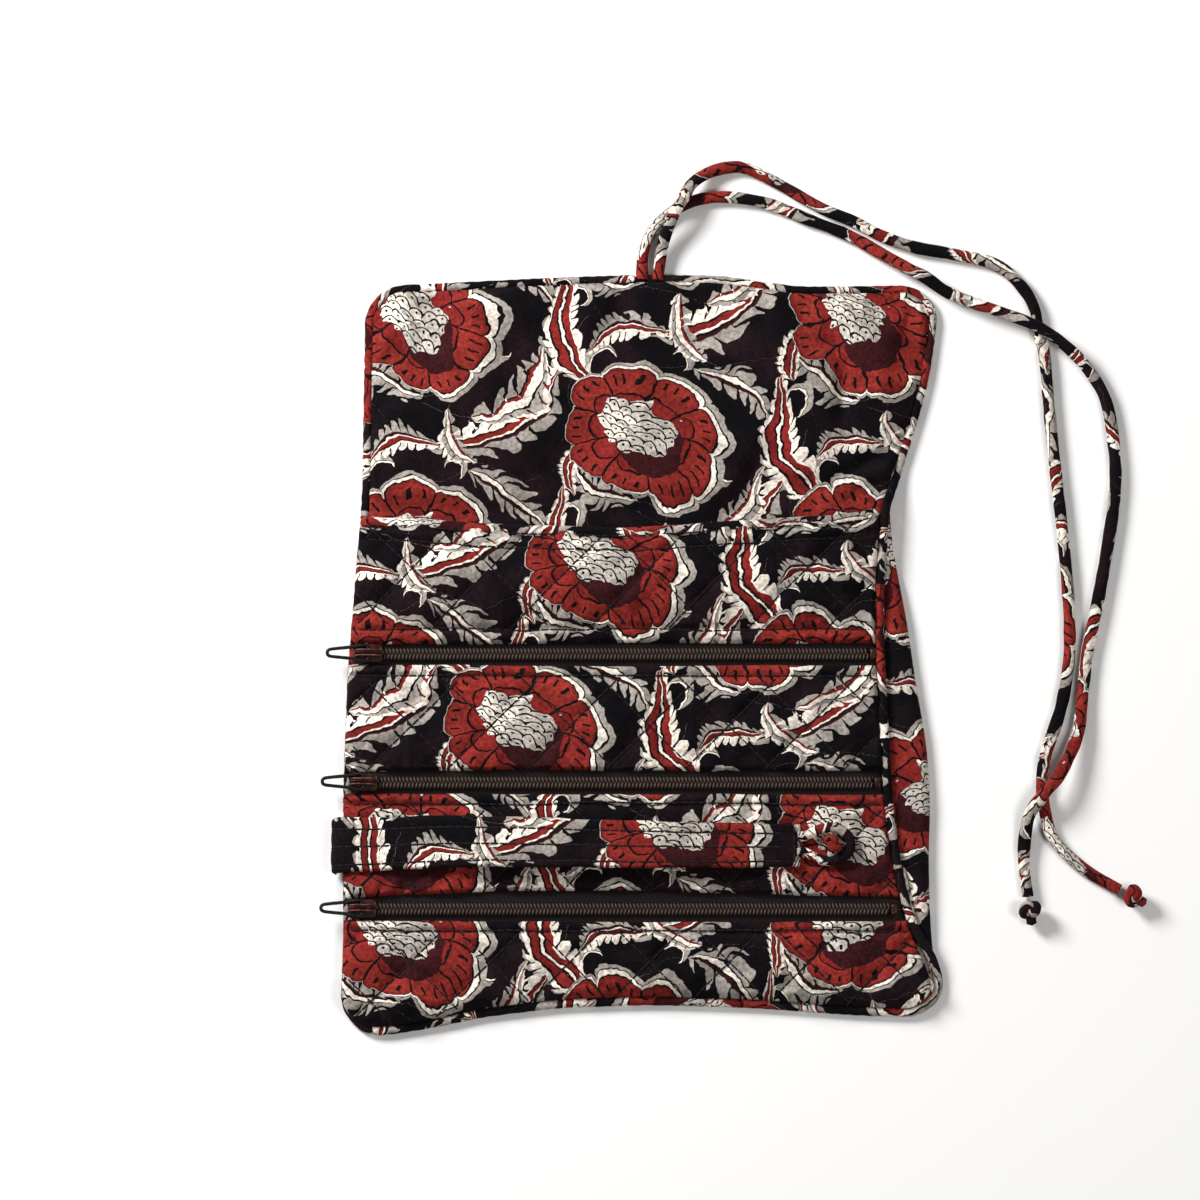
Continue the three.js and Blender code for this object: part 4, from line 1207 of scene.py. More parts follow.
def makeBody():
    rows = cloth["top"] + (cloth["bottom"] - cloth["top"]) * closeEnds(cloth["rows"], 0.72)
    across = closeEnds(cloth["columns"], 0.7)
    y0 = np.repeat(rows[:, None], len(across), 1)
    ends = np.minimum(cloth["top"] - rows, rows - cloth["bottom"])
    inset = cornerInset(ends)
    left, right = (leftEdge(rows) + inset)[:, None], (rightEdge(rows) - inset)[:, None]
    x = left + (right - left) * across[None]
    y = y0 + edgeWave(x, y0)
    seam = seamLine(rows)[:, None] - inset[:, None]
    sides, ends = np.minimum(x - left, right - x), ends[:, None]
    rim = roundOff(np.minimum(sides, ends), cloth["rimRadius"])
    flat = liningHeights(x, y, y0, left, right, ends, sides)
    # on the right the cover is rolled up over the edge as far as the seam
    strip = np.clip((x - seam) / np.maximum(right - seam, 0.5), 0, 1)
    outer = (x > seam) & (y0 < cloth["bulgeAbove"][1])
    roll = np.sin(math.pi * np.clip(strip * 0.62 + 0.08, 0, 1)) ** 0.6
    broad = ease(*cloth["bulgeWidth"], right - seam) * (1 - ease(*cloth["bulgeAbove"], y0))
    folds, waves = cloth["bulgeGather"]
    gather = folds * np.sin(y / 1.6 + 2 * ripple(x, y, 26, 12)) * (1 - strip) + waves * ripple(x, y, 14, 13)
    rolled = cloth["bulgeHeight"] * roll + gather * cloth["bulgeGatherShare"]
    flat = flat + np.where(outer, broad * rolled, 0)
    top = cloth["rimHeight"] + (flat - cloth["rimHeight"]) * rim
    puffed = quiltPuff(x, y, cloth["puffSoft"])
    uneven = cloth["underRipple"] * (1 + ripple(x, y, 30, 15)).clip(0, 2)
    under = np.minimum(cloth["lowest"] + cloth["puff"] * (1 - puffed) + uneven, cloth["underMost"])
    bottom = cloth["rimHeight"] - (cloth["rimHeight"] - under) * rim
    placeRolled = printPlace(2 * right - x, y, cloth["coverFlower"])
    placeTop = np.where(outer[..., None], placeRolled, printPlace(x, y, cloth["flapFlower"]))
    placeBottom = printPlace(x, y, cloth["coverFlower"])
    cuts = [int(np.argmin(np.abs(rows - cut))) for cut in cloth["cuts"]]
    names = (("flap",), ("upper",), ("middle",), ("ring", "lower"))
    for number, (start, stop) in enumerate(zip([0] + cuts, [cut + 1 for cut in cuts] + [len(rows)])):
        grids = [grid[start:stop] for grid in (x, y, top, bottom, placeTop, placeBottom)]
        pad = padPart(*grids, openStart=number > 0, openEnd=number < len(cuts))
        low = (grids[0].min(), max(grids[1].min(), rows[stop - 1]))
        high = (grids[0].max(), min(grids[1].max(), rows[start]))
        lines = quiltPaths(surfaceTree(pad["points"], pad["quads"]), low, high, above=False)
        parts = [pad] + stitchPart(lines)
        piece = addMesh("quiltedBody" + str(number + 1), parts, [printedCotton, blackThread])
        nodes = [name + "_" + layer for name in names[number] for layer in ("cover", "batting", "lining")]
        standFor(piece, nodes)
        bendAtFold(piece)
    return x, y


bodyX, bodyY = makeBody()
print("quilted body made")

# pocket panels: printed cotton over thin batting, folded in at the zips and stitched along them
pockets = {
    "rest": 3.9,
    "rise": 1.45,
    "crown": 0.9,
    "crownRadius": 7,
    "thick": 1.25,
    "puff": 1.45,
    "puffLevel": 0.45,
    "puffSoft": 2.6,
    "pucker": 0.2,
    "ripples": (0.36, 0.2),
    "bowRipple": 0.25,
    "gather": 0.3,  # along the zips
    "gatherReach": 3.5,
    "sideGather": 0.28,  # along the seam on the right
    "sideReach": 5,
    "slack": 0.045,
    "pressure": 4.0,
    "heldQuilt": 1.7,  # how far from its stitches the cloth is held down
    "heldLine": 0.9,
    "heldEdge": 0.5,
    "foldRadius": 1.5,
    "seamRadius": 1.8,
    "bottomRadius": 4.0,
    "bottomGap": 0.2,
    "bottomDrop": 2.0,
    "bottomDropOver": 9,
    "edgeRadius": 3.2,
    "edgeDrop": 2.6,
    "edgeShare": 0.8,
    "overLeft": 2.2,
    "insideSeam": 1.1,
    "lowest": 1.4,
    "rimRadius": 1.2,
    "stitchDip": 0.8,
    "stitchHalf": 1.2,
    "lineStray": 0.35,
    "band": 0.7,
    "plainEdge": (-1.0, 2.5),
    "pressSoft": 0.15,
    "pressSlope": 0.5,
    "rows": 84,
    "columns": 240,
    "fill": 0.4,
}
# a panel without high has the mouth as its upper edge, one without low ends at the bottom of the cloth
panels = [
    {"name": "slipPocket", "low": zips["at"][0] + zips["edge"], "flower": (-13.3, 29.0), "turn": 0.0,
     "lowBow": [(-96, 0.0), (0, 0.4), (96, 0.2)],
     "line": 8.0, "body": "upper_panel", "nodes": ["slip_pocket_panel"], "seed": 21},
    {"name": "middlePocket", "high": zips["at"][0] - zips["edge"], "low": zips["at"][1] + zips["edge"],
     "topBow": [(-96, 0.0), (-30, 0.6), (96, 0.2)],
     "lowBow": [(-96, 0.2), (-40, 1.0), (20, 0.6), (96, 0.1)], "flower": (-40.0, -25.5), "turn": 0.0,
     "line": -7.2, "fold": 1, "nodes": ["middle_pocket_panel", "zip_1_facing"], "seed": 22},
    {"name": "ringPocket", "high": zips["at"][1] - zips["edge"], "low": zips["at"][2] + zips["edge"],
     "topBow": [(-96, 0.0), (-20, 0.5), (96, 0.1)],
     "lowBow": [(-96, 0.2), (-70, 1.4), (-40, 2.6), (0, 2.6), (40, 1.4), (96, 0.2)],
     "flower": (69.0, -63.5), "turn": 0.0,
     # where the strap's ends lie on the pocket: from x, to x, half width, height
     "pressed": [(-97.0, -74.0, 9.4, 6.5), (45.0, 53.5, 7.6, 6.45), (51.0, 71.5, 7.4, 6.15)],
     "line": -50.2, "fold": 2, "nodes": ["ring_pocket_panel", "zip_2_facing"], "seed": 23},
    {"name": "lowerPocket", "high": zips["at"][2] - zips["edge"], "flower": (-79.0, -95.0), "turn": 3.0,
     "topBow": [(-96, 0.0), (-30, 0.5), (40, 0.7), (96, 0.1)],
     "line": -92.2, "fold": 3, "nodes": ["lower_pocket_panel", "zip_3_facing"], "seed": 24},
]
strapLine = -64.0  # the ring strap lies along this y
mouth = {
    "line": [(-92, 45.5), (-70, 43.6), (-51, 42.0), (-4, 40.6), (20, 42.2), (40, 43.6), (60, 44.8),
             (72, 46.6), (80, 48.6)],
    "level": 44.0,
    "gape": 4.8,
    "climb": 19.0,
    "side": 30.0,
    "stitchBelow": 7.0,
    "sewnBelow": 2.9,
    "sewnHalf": 1.1,
    "sewnDip": 0.8,
    "bindingWide": 1.85,
    "bindingTall": 1.5,
    "bindingBelow": 0.9,
    "bindingOver": 0.1,
    "bindingEnd": 0.6,
    "bindingWrinkle": 0.05,
    "bindingPlace": (60.0, 11.0),
    "bindingTurn": 40.0,
}


def panelGrid(panel):
    share = closeEnds(pockets["columns"], 0.6)
    high = panel.get("high", mouth["level"])
    low = panel.get("low", cloth["bottom"] + pockets["bottomGap"])
    rows = high + (low - high) * closeEnds(pockets["rows"], 0.72)
    inset = np.zeros(len(rows)) if "low" in panel else cornerInset(rows - cloth["bottom"])
    left = (leftEdge(rows) + inset - pockets["overLeft"])[:, None]
    right = (seamLine(rows) - inset - pockets["insideSeam"])[:, None]
    x = left + (right - left) * share[None]
    y = np.repeat(rows[:, None], len(share), 1)
    up = (y - low) / (high - low)

    def bow(edge, seed):
        stray = pockets["bowRipple"] * (1 + ripple(x, 0 * x, 38, panel["seed"] + seed))
        return along(panel[edge], x) + stray

    if "high" in panel:
        y = y - bow("topBow", 5) * up ** 3
    else:
        y = y + (along(mouth["line"], x) - high) * up ** 2
    if "low" in panel:
        y = y + bow("lowBow", 6) * (1 - up) ** 3
    else:
        y = y + edgeWave(x, y)
    return rows, x, y, left, right


def panelHeights(panel, rows, x, y, left, right):
    made, seed, line = pockets, panel["seed"], panel["line"]
    high, low = rows[0], rows[-1]
    base = np.repeat(rows[:, None], x.shape[1], 1)
    fromTop, fromLow = high - base, base - low
    fromLeft, fromRight = x - left, right - x
    fromZips = np.minimum(fromTop, fromLow)
    inside = np.minimum(fromZips, np.minimum(fromLeft, fromRight))
    # the strip between a zip and its stitched line isn't quilted, and is puffed like a roll
    gap = base - line
    strip = np.sign(line - high / 2 - low / 2)
    zipEdge = high if strip > 0 else low
    dip = -made["stitchDip"] * np.exp(-(gap / made["stitchHalf"]) ** 2)
    dip += made["band"] * np.sin(math.pi * np.clip(gap / (zipEdge - line), 0, 1))
    plain = ease(*made["plainEdge"], -gap * strip)
    if "high" not in panel:
        below = along(mouth["line"], x) - y
        dip -= made["stitchDip"] * np.exp(-((below - mouth["stitchBelow"]) / made["stitchHalf"]) ** 2)
        dip -= mouth["sewnDip"] * np.exp(-((below - mouth["sewnBelow"]) / mouth["sewnHalf"]) ** 2)
    soft = roundOff(fromTop, made["crownRadius"]) * roundOff(fromLow, made["crownRadius"])
    crown = made["crown"] * soft
    long, short = made["ripples"]
    wave = long * ripple(x, y, 34, seed) + short * ripple(x, y, 14, seed + 40)
    gather = np.sin(x / 1.5 + 2.2 * ripple(x, y, 24, seed + 70))
    nearZips = np.exp(-fromTop / made["gatherReach"]) + np.exp(-fromLow / made["gatherReach"])
    gather = made["gather"] * gather * nearZips * ease(0.3, 2.0, fromZips)
    side = made["sideGather"] * np.sin(y / 1.5 + 2 * ripple(x, y, 24, seed + 90))
    side = side * np.exp(-fromRight / made["sideReach"])
    puff = made["puff"] * (quiltPuff(x, y, made["puffSoft"]) - made["puffLevel"])
    pucker = made["pucker"] * quiltPucker(x, y, seed + 10)
    height = made["rise"] + crown + plain * (puff + pucker) + wave * soft + gather + side + dip
    held = ((np.minimum(*quiltLines(x, y)) < made["heldQuilt"]) & (plain > 0.5)).astype(float)
    held = np.maximum(held, np.abs(gap) < made["heldLine"])
    held = np.maximum(held, inside < made["heldEdge"])
    height = height + settleCloth(panel["name"], x, y, made["rest"] + height, held, made["slack"],
                                  made["pressure"])
    lowRadius = made["foldRadius"] if "low" in panel else made["bottomRadius"]
    fold = roundOff(fromTop, made["foldRadius"]) * roundOff(fromRight, made["seamRadius"])
    fold = fold * roundOff(fromLow, lowRadius)
    rest = np.full(x.shape, made["rest"])
    if "low" not in panel:
        rest -= made["bottomDrop"] * (1 - roundOff(fromLow, made["bottomDropOver"]))
    drop = made["edgeDrop"] * (1 - roundOff(fromLeft, made["edgeRadius"])) * made["edgeShare"]
    top = rest + height * fold - drop
    if "high" not in panel:
        opened = ease(0, mouth["side"], fromLeft) * ease(0, mouth["side"], fromRight)
        top = top + mouth["gape"] * (opened * ease(0, mouth["climb"], fromLow))
    top = np.maximum(top, made["lowest"])
    for start, end, half, under in panel.get("pressed", ()):
        away = np.maximum(np.maximum(start - x, x - end), np.abs(y - strapLine) - half)
        limit = under + made["pressSlope"] * np.maximum(away, 0)
        top = -made["pressSoft"] * np.logaddexp(-top / made["pressSoft"], -limit / made["pressSoft"])
    return top, top - made["thick"] * roundOff(inside, made["rimRadius"])


def makePanel(panel):
    rows, x, y, left, right = panelGrid(panel)
    top, bottom = panelHeights(panel, rows, x, y, left, right)
    place = printPlace(x, y, panel["flower"], panel["turn"])
    pad = padPart(x, y, top, bottom, place, place)
    surface = np.stack([x, y, top], -1).reshape(-1, 3)
    tree = surfaceTree(surface, gridQuads(np.arange(x.size).reshape(x.shape)))
    spots = np.arange(left.min() + 3, right.max() - 1, 1.0)
    sewn = panel["line"] + pockets["lineStray"] * ripple(spots, spots * 0, 40, panel["seed"])
    lines = layLine(tree, np.stack([spots, sewn], -1))
    if "high" not in panel:
        spots = np.arange(left.max() + 3, right.min() - 1, 1.0)
        sewn = along(mouth["line"], spots) - mouth["stitchBelow"]
        lines += layLine(tree, np.stack([spots, sewn], -1))
    # quilting stops at the stitched line
    lowY, highY = y.min() + 0.5, y.max() - 0.5
    if panel["line"] < (rows[0] + rows[-1]) / 2:
        lowY = y.min() + (panel["line"] - rows[-1])
    else:
        highY = panel["line"]
    lines += quiltPaths(tree, (x.min() + 2, lowY), (x.max() - 1.5, highY))
    piece = addMesh(panel["name"], [pad] + stitchPart(lines), [printedCotton, blackThread])
    standFor(piece, panel["nodes"], panel.get("body"))
    if "fold" in panel:
        bendAtFold(piece)
    return x, y, top


slipX, slipY, slipTop = [makePanel(panel) for panel in panels][0]
print("pocket panels made")


# folded binding along the mouth of the slip pocket, cut on the bias
def makeBinding():
    edge = np.stack([slipX[0], slipY[0] - mouth["bindingBelow"], slipTop[2] + mouth["bindingOver"]], -1)
    path = evenPath(edge[1:-1], 1.2)
    wrinkle = 1 + mouth["bindingWrinkle"] * np.sin(np.arange(len(path)) * 0.9)
    wide = closedEnds(path, mouth["bindingWide"], mouth["bindingEnd"])
    tall = closedEnds(path, mouth["bindingTall"], mouth["bindingEnd"]) * wrinkle
    tube = tubePart(path, wide, tall, 12, place=mouth["bindingPlace"], turn=mouth["bindingTurn"])
    under = path - np.array([0.0, 1.15, -1.0])  # stitches show on its lower side
    ups = np.tile([0.0, -0.3, 0.95], (len(path), 1))
    piece = addMesh("slipBinding", [tube] + stitchPart([(under, ups)]), [printedCotton, blackThread])
    standFor(piece, ["slip_pocket_binding"], "upper_panel")


makeBinding()
print("binding made")

# piping: a cord in a bias strip, round the edge and up the seam on the right
piping = {
    "half": 1.5,
    "flat": 0.98,
    "wrinkle": 0.05,
    "outside": 0.9,
    "low": 1.55,
    "onSeam": 5.1,
    "pastSeam": 0.2,
    "rise": (46.0, 64.0),  # it leaves the edge for the seam over these stretches of y
    "fall": (-110.0, -90.0),
    "seamPart": (-116, 100),
    "step": 0.9,
    "overlap": 0.5,
    "sideFrom": 60,
}


def pipingPath():
    outline = np.stack([bodyX, bodyY], -1)
    sides = [outline[::-1, 0], outline[0], outline[:, -1], outline[-1, ::-1]]
    loop = np.vstack([side[:-1] for side in sides])
    gaps = np.linalg.norm(np.diff(loop, axis=0, append=loop[:1]), axis=1)
    loop = loop[gaps > 0.05]
    loop = np.vstack([loop, loop[:1]])
    run = lengthAlong(loop)
    even = atLengths(np.arange(0, run[-1], piping["step"]), run, loop)
    ahead = headings(np.roll(even, -3, 0) - np.roll(even, 3, 0))
    outer = even + np.stack([-ahead[:, 1], ahead[:, 0]], -1) * piping["outside"]
    x, y = outer.T
    low, high = piping["seamPart"]
    onRight = (x > 0) & (y < high) & (y > low)
    up = (1 - ease(*piping["rise"], y)) * ease(*piping["fall"], y) * onRight
    inner = seamLine(y) + piping["pastSeam"]
    x = np.where(onRight, x * (1 - up) + inner * up, x)
    z = piping["low"] + (piping["onSeam"] - piping["low"]) * up
    return np.stack([x, y, z], -1)


def makePiping():
    path = pipingPath()
    x, y = path[:, 0], path[:, 1]
    cuts, lap, far = cloth["cuts"], piping["overlap"], piping["sideFrom"]
    top, low = y >= cuts[0] - lap, y <= cuts[2] + lap
    upper = np.roll(path, -int(np.argmax(top)), 0)[:top.sum()]
    lower = np.roll(path, -int(np.argmax(low & (x > far))), 0)[:low.sum()]
    stretches = [("Flap", upper, 0, ["flap_piping"])]
    for fold, name, joined in ((1, "upper", ["upper"]), (2, "middle", ["middle", "ring"])):
        band = (y <= cuts[fold - 1] + lap) & (y >= cuts[fold] - lap)
        for side, there in (("left", x < -far), ("right", x > far)):
            nodes = [part + "_piping_" + side for part in joined]
            stretches.append((name.capitalize() + side.capitalize(), path[band & there], fold, nodes))
    stretches.append(("Lower", lower, 3, ["lower_piping"]))
    for seed, (name, line, fold, nodes) in enumerate(stretches):
        count = np.arange(len(line))
        wrinkle = piping["wrinkle"] * np.sin(count * 1.1 + 2 * np.sin(count * 0.23))
        wide = piping["half"] * (1 + wrinkle)
        tall = piping["half"] * (piping["flat"] - wrinkle)
        tube = tubePart(line, wide, tall, 12, place=(33.0 * seed, 14.0))
        piece = addMesh("piping" + name, [tube], [printedCotton])
        standFor(piece, nodes)
        bendAtFold(piece)


makePiping()
print("piping made")

# zips: woven tape, a coil on each side, a stop, a slider and its wire pull
zipMake = {
    "pitch": 1.21,
    "turnSteps": 12,
    "coilReach": 1.84,
    "coilMesh": 0.94,  # how far each coil's middle stands off, so that the two mesh
    "coilHalf": 0.27,
    "cord": (0.8, 0.36),
    "coilHeight": 4.85,
    "coilTall": 0.62,
    "tapeHalf": 6.2,
    "tapeHeight": 3.72,
    "tapeThick": 0.5,
    "tapeWave": 0.1,
    "tapeEdge": (0.3, 1.2),
    "tapeDrop": (1.6, 3.0),  # at the left end: how far, over what length
    "tapeFall": (0.25, 3.0, 6.0),  # to its edges: how far, from and to which distance
    "rows": 26,
    "columns": 150,
    "sliderAt": (-90.08, -91.44, -91.6),
    "rightEnd": (75.5, 76.8, 82.0),
    "stopHalf": 0.42,
    "stopLow": 0.45,
    "stopReach": 0.86,
    "stopWide": 0.9,
    "stopEnd": 0.4,
    "stopBend": 1.1,
}


def makeTape(number):
    at = zips["at"][number]
    rows = at + np.linspace(zipMake["tapeHalf"], -zipMake["tapeHalf"], zipMake["rows"])
    share = closeEnds(zipMake["columns"], 0.4)
    inLeft, inRight = zipMake["tapeEdge"]
    left, right = (leftEdge(rows) + inLeft)[:, None], (seamLine(rows) - inRight)[:, None]
    x = left + (right - left) * share
    y = np.repeat(rows[:, None], len(share), 1)
    wave = zipMake["tapeWave"] * ripple(x, y, 18, 31 + number)
    deep, over = zipMake["tapeDrop"]
    drop = deep * (1 - roundOff(x - left, over))
    fall, start, end = zipMake["tapeFall"]
    top = zipMake["tapeHeight"] + wave - drop - fall * ease(start, end, np.abs(y - at))
    low = top - zipMake["tapeThick"]
    place = printPlace(x, y, (0, 0))
    half = len(rows) // 2
    for label, rowsHere in (("Upper", slice(0, half)), ("Lower", slice(half, None))):
        pad = padPart(*[grid[rowsHere] for grid in (x, y, top, low, place, place)])
        piece = addMesh("zipTape" + label + str(number + 1), [pad], [zipTape])
        node = "zip_%d_tape_%s" % (number + 1, label.lower())
        standFor(piece, [node], bodies[number + 1])


def makeChain(number):
    at, high, pitch = zips["at"][number], zipMake["coilHeight"], zipMake["pitch"]
    start, end = zipMake["sliderAt"][number] + 1.0, zipMake["rightEnd"][number]
    t = np.arange(0, (end - start) / pitch, 1 / zipMake["turnSteps"])
    reach = zipMake["coilReach"] / 2
    wide, tall = zipMake["cord"]
    parts = []
    for side in (1, -1):
        phase = 2 * math.pi * t + (math.pi if side < 0 else 0)
        aside = at + side * (reach * zipMake["coilMesh"] + reach * np.cos(phase))
        path = np.stack([start + pitch * t, aside, high + zipMake["coilTall"] * np.sin(phase)], -1)
        parts.append(tubePart(path, zipMake["coilHalf"], sides=6))
        # the cord that runs inside the coil; it is made black, so that it also stands for the shade between
        # its turns
        core = evenPath(np.array([(x, at + side * reach, high) for x in (start, end)]), 2.0)
        parts.append(tubePart(core, closedEnds(core, wide), closedEnds(core, tall), 8, slot=1))
    piece = addMesh("zipChain" + str(number + 1), parts, [nylonCoil, blackThread])
    standFor(piece, ["zip_%d_chain" % (number + 1)], bodies[number + 1])


# a plate from an outline, with a rounded rim; its faces close nearly in the middle
def platePart(outline, low, high, rim, close=0.98):
    way = outline.mean(0) - outline
    reach = np.linalg.norm(way, axis=1)[:, None]
    rings = [(outline + way * close, low), (outline + way / reach * rim, low)]
    bends = ((0.3, low + 0.3 * rim), (0.0, low + rim), (0.0, high - rim), (0.3, high - 0.3 * rim))
    rings += [(outline + way / reach * (inset * rim), z) for inset, z in bends]
    rings += [(outline + way / reach * rim, high), (outline + way * close, high)]
    count = len(outline)
    points = np.concatenate([np.hstack([ring, np.full((count, 1), z)]) for ring, z in rings])
    index = np.arange(len(points)).reshape(len(rings), count)
    quads = gridQuads(np.hstack([index, index[:, :1]]))[:, ::-1]
    return {"points": points, "quads": quads, "corners": np.zeros((len(quads), 4, 2)), "slot": 0}


slider = {
    "long": 9.6,
    "wide": 6.6,
    "outlinePoints": 64,
    "roofLow": 5.95,
    "roofHigh": 7.0,
    "roofRim": 0.35,
    "wall": 0.29,
    "wallLow": 4.3,
    "wallUnder": 0.4,
    "wallLine": [(-0.42, 2.84), (0.0, 2.76), (0.46, 2.69)],  # share of the length, distance aside
    "bridge": [(-3.9, 6.7), (-3.6, 8.2), (-2.4, 8.9), (0.6, 8.95), (2.9, 8.5), (3.8, 7.7), (4.1, 6.7)],
    "bridgeHalf": (0.95, 0.36),
    "bridgeDrop": 0.12,
    "rail": 0.3,
    "railOut": 0.88,
    "rimAt": 4.4,
    "rimHalf": 2.1,
    "endOver": 0.5,
}


# slider outline: two shoulders where the coils come in, narrowing to the closed end
def sliderOutline(x, y):
    half, side = slider["long"] / 2, slider["wide"] / 2
    corners = [(half, side * 0.88), (half * 0.55, side * 0.9), (-0.1, side * 0.95), (-half * 0.7, side),
               (-half, side * 0.85), (-half, 0.25 * side), (-half * 0.86, 0.0)]
    whole = corners + [(cx, -cy) for cx, cy in corners[::-1][1:]]
    loop = np.array(whole + whole[:1])
    run = lengthAlong(loop)
    made = atLengths(np.linspace(0, run[-1], slider["outlinePoints"], endpoint=False), run, loop)
    for _ in range(3):  # corners are rounded off
        made = (np.roll(made, 1, 0) + 2 * made + np.roll(made, -1, 0)) / 4
    return made + np.array([x, y])


def makeSlider(number):
    x, y = zipMake["sliderAt"][number], zips["at"][number]
    over, railHalf = slider["endOver"], slider["rail"]
    parts = [platePart(sliderOutline(x, y), slider["roofLow"], slider["roofHigh"], slider["roofRim"])]
    tall = (slider["roofHigh"] - slider["wallUnder"] - slider["wallLow"]) / 2
    for side in (1, -1):  # walls that close round the coils
        wall = [(x + slider["long"] * share, y + side * aside, slider["wallLow"] + tall)
                for share, aside in slider["wallLine"]]
        wall = evenPath(cordPath(wall), 0.4)
        wide = closedEnds(wall, slider["wall"], over)
        parts.append(tubePart(wall, wide, closedEnds(wall, tall, over), 12))
    # bridge that the pull turns in
    bridge = evenPath(cordPath([(x + a, y, b) for a, b in slider["bridge"]]), 0.35)
    parts.append(tubePart(bridge - np.array([0.0, 0.0, slider["bridgeDrop"]]), *slider["bridgeHalf"]))
    # the raised edges are in the lighter lacquer, a painted highlight
    for side in (1, -1):  # its raised edges
        edge = bridge + np.array([0.0, side * slider["railOut"], 0.0])
        parts.append(tubePart(edge, railHalf, sides=8, slot=1))
    # the rim at the end is in the lighter lacquer, a painted highlight
    ends = [(x + slider["rimAt"], y + side * slider["rimHalf"], slider["roofHigh"]) for side in (-1, 1)]
    rim = evenPath(np.array(ends), 0.4)
    parts.append(tubePart(rim, closedEnds(rim, railHalf, over), sides=8, slot=1))
    node = "zip_%d_slider" % (number + 1)
    piece = addMesh("zipSlider" + str(number + 1), parts, [lacqueredZinc, rubbedLacquer])
    standFor(piece, [node], node)


# wire pull, bent from one length and closed round the pin; tip is measured back from its length
pull = {
    "pin": 7.75,
    "long": 14.0,
    "wire": 0.58,
    "side": [(0.0, 0.0), (0.1, 1.5), (-0.1, 2.2), (-0.9, 2.5), (-3.0, 2.2), (-6.5, 1.8), (-10.5, 1.4)],
    "tip": [(1.5, 1.1), (0.85, 0.7), (0.65, 0.0)],
    "fine": 8,
}


def makePull(number):
    x, y = zipMake["sliderAt"][number], zips["at"][number]
    loop = pull["side"] + [(-pull["long"] + a, b) for a, b in pull["tip"]]
    loop = loop + [(a, -b) for a, b in loop[::-1][1:-1]]
    ring = np.array([(x + a, y + b, pull["pin"]) for a, b in loop + loop[:3]])
    smooth = cordPath(ring, pull["fine"])[:len(loop) * pull["fine"]]
    node = "zip_%d_pull" % (number + 1)
    piece = addMesh("zipPull" + str(number + 1), [tubePart(smooth, pull["wire"], closed=True)], [blackWire])
    standFor(piece, [node], node)


# end stop: a clip bent down over both edges of the chain
def makeStop(number):
    node = "zip_%d_stop" % (number + 1)
    box = np.array(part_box(node)) / mm
    middle, half = box.mean(0), (box[1] - box[0]) / 2
    bend = box[1][2] - zipMake["stopLow"]
    clip = []
    for s in np.linspace(-1, 1, 15):
        aside = zips["at"][number] + s * half[1] * zipMake["stopReach"]
        clip.append((middle[0], aside, bend - zipMake["stopBend"] * abs(s) ** 6))
    path = evenPath(np.array(clip), 0.3)
    wide = closedEnds(path, half[0] * zipMake["stopWide"], zipMake["stopEnd"])
    tall = closedEnds(path, zipMake["stopHalf"], zipMake["stopEnd"])
    piece = addMesh("zipStop" + str(number + 1), [tubePart(path, wide, tall)], [lacqueredZinc])
    standFor(piece, [node], bodies[number + 1])


for number in range(3):
    makeTape(number)
    makeChain(number)
    makeSlider(number)
    makePull(number)
    makeStop(number)
print("zips made")

# ring strap: a flat stitched tube that folds over the left edge, arches over the pocket and ends in a loop
ringStrap = {
    "wideLeft": 18.4,
    "wideRight": 14.2,
    "thick": 2.2,
    "line": [(-100.1, 1.4), (-100.7, 3.6), (-100.2, 5.8), (-98.4, 7.2), (-95.0, 7.9), (-90.0, 7.9),
             (-85.3, 7.9), (-78.0, 8.9), (-64.0, 10.6), (-44.0, 12.0), (-16.0, 12.5), (12.0, 12.0),
             (30.0, 10.7), (44.0, 8.9), (52.6, 7.8)],
    "sway": 0.7,
    "uneven": [(0.015, 31), (0.01, 67)],
    "rimRadius": 1.7,
    "rows": 26,
    "flower": (17.0, -60.0),
    "turn": 4.0,
    "stitchRows": (-0.76, -0.05, 0.55),
    "channel": (0.3, 0.8),  # depth and half width of the dip along its stitches
    "turnsFrom": -90.0,  # it bends up from the pocket between these places
    "turnsAt": -80.5,
    "fill": 0.5,
    "loop": [(51.0, 2.7, 7.9), (53.6, 2.7, 8.2), (56.0, 3.6, 8.4), (59.5, 5.2, 8.4), (63.0, 5.6, 8.4),
             (66.4, 4.4, 8.4), (68.8, 1.9, 8.4)],  # one side of it, from the middle line
    "loopHalf": 1.65,
    "loopFlat": 0.95,
    "loopWrinkle": 0.06,
    "loopPlace": (-17.7, 46.0),
    "knotTurn": 0.5,
    "knotSize": 4.2,
    "knotCord": 1.45,
    "knotPlace": (-17.0, 11.0),
}


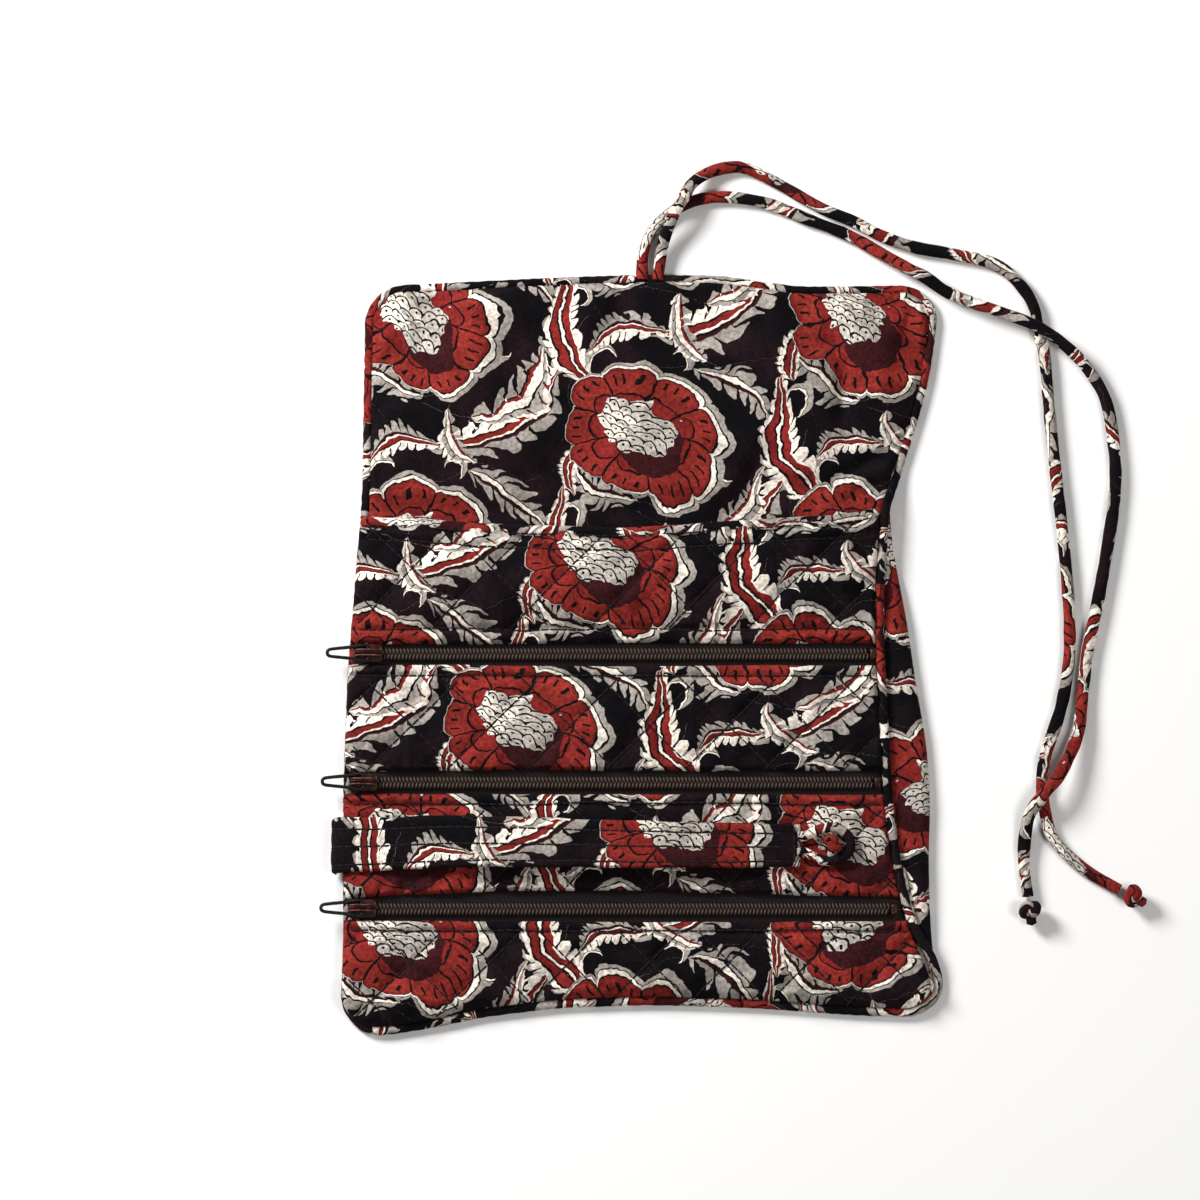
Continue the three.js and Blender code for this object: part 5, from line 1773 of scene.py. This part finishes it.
def makeStrap():
    path = evenPath(cordPath([(x, 0.0, z) for x, z in ringStrap["line"]]), 1.1)
    run = lengthAlong(path)
    share = run / run[-1]
    rows = np.linspace(1, -1, ringStrap["rows"])
    rows = np.sign(rows) * np.abs(rows) ** 0.75
    half = (ringStrap["wideLeft"] + (ringStrap["wideRight"] - ringStrap["wideLeft"]) * share) / 2
    uneven = 1
    for amount, waves in ringStrap["uneven"]:
        uneven = uneven + amount * np.sin(share * waves)
    half = half * uneven
    sway = ringStrap["sway"] * np.sin(share * 5.2 + 0.6)
    ahead = headings(np.gradient(path, axis=0))
    up = np.stack([-ahead[:, 2], np.zeros(len(path)), ahead[:, 0]], -1)
    y = strapLine + sway[None] * ease(0.05, 0.3, share)[None] + rows[:, None] * half[None]
    edge = np.minimum((1 - np.abs(rows))[:, None] * half[None], np.minimum(run, run[-1] - run)[None])
    rim = roundOff(edge, ringStrap["rimRadius"])
    flat = np.repeat(run[None], len(rows), 0)
    channel = np.zeros(y.shape)
    deep, wide = ringStrap["channel"]
    for s in ringStrap["stitchRows"]:
        channel -= deep * np.exp(-(((rows - s)[:, None] * half[None]) / wide) ** 2)
    wrinkle = 0.16 * ripple(flat, y, 14, 61) + 0.2 * np.sin(flat / 1.7 + 2 * ripple(flat, y, 22, 62)) * 0.6
    rise = (ringStrap["thick"] / 2 + channel + wrinkle) * rim
    fall = -(ringStrap["thick"] / 2 + channel * 0.6) * rim
    topX, lowX = [path[None, :, 0] + move * up[None, :, 0] for move in (rise, fall)]
    top, low = [path[None, :, 2] + move * up[None, :, 2] for move in (rise, fall)]
    place = printPlace(flat + path[0, 0], y, ringStrap["flower"], ringStrap["turn"])
    pad = padPart(topX, y, top, low, place, place, bottomX=lowX)
    surface = np.stack([topX, y, top], -1)
    inner = slice(3, -3)
    lines = [(surface[np.argmin(np.abs(rows - s))][inner], up[inner]) for s in ringStrap["stitchRows"]]
    ends = surface[2:-2, -3]  # one line across, by the loop
    lines.append((ends, np.tile(up[-3], (len(ends), 1))))
    piece = addMesh("ringStrap", [pad] + stitchPart(lines), [printedCotton, blackThread])
    standFor(piece, ["ring_strap", "ring_strap_anchor"])
    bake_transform(piece)


# rouleau loop at the end of the strap, and the knot that it hooks over
def makeLoop():
    side = ringStrap["loop"]
    loop = [(a, strapLine + b, c) for a, b, c in side] + [(a, strapLine - b, c) for a, b, c in side[::-1]]
    path = evenPath(cordPath(loop), 0.7)
    wrinkle = ringStrap["loopWrinkle"] * np.sin(np.arange(len(path)) * 0.8)
    half = closedEnds(path, ringStrap["loopHalf"], 0.6)
    tube = tubePart(path, half * (1 + wrinkle), half * (ringStrap["loopFlat"] - wrinkle), 12,
                    place=ringStrap["loopPlace"])
    piece = addMesh("strapLoop", [tube], [printedCotton])
    standFor(piece, ["ring_strap_loop"], "ring_strap")
    middle = (np.array(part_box("knot_button")) / mm).mean(0)
    parts = knotPart(middle, ringStrap["knotTurn"], ringStrap["knotSize"], ringStrap["knotCord"],
                     ringStrap["knotPlace"])
    knot = addMesh("knotButton", parts, [printedCotton])
    standFor(knot, ["knot_button"], "ring_panel")


makeStrap()
makeLoop()
print("ring strap made")
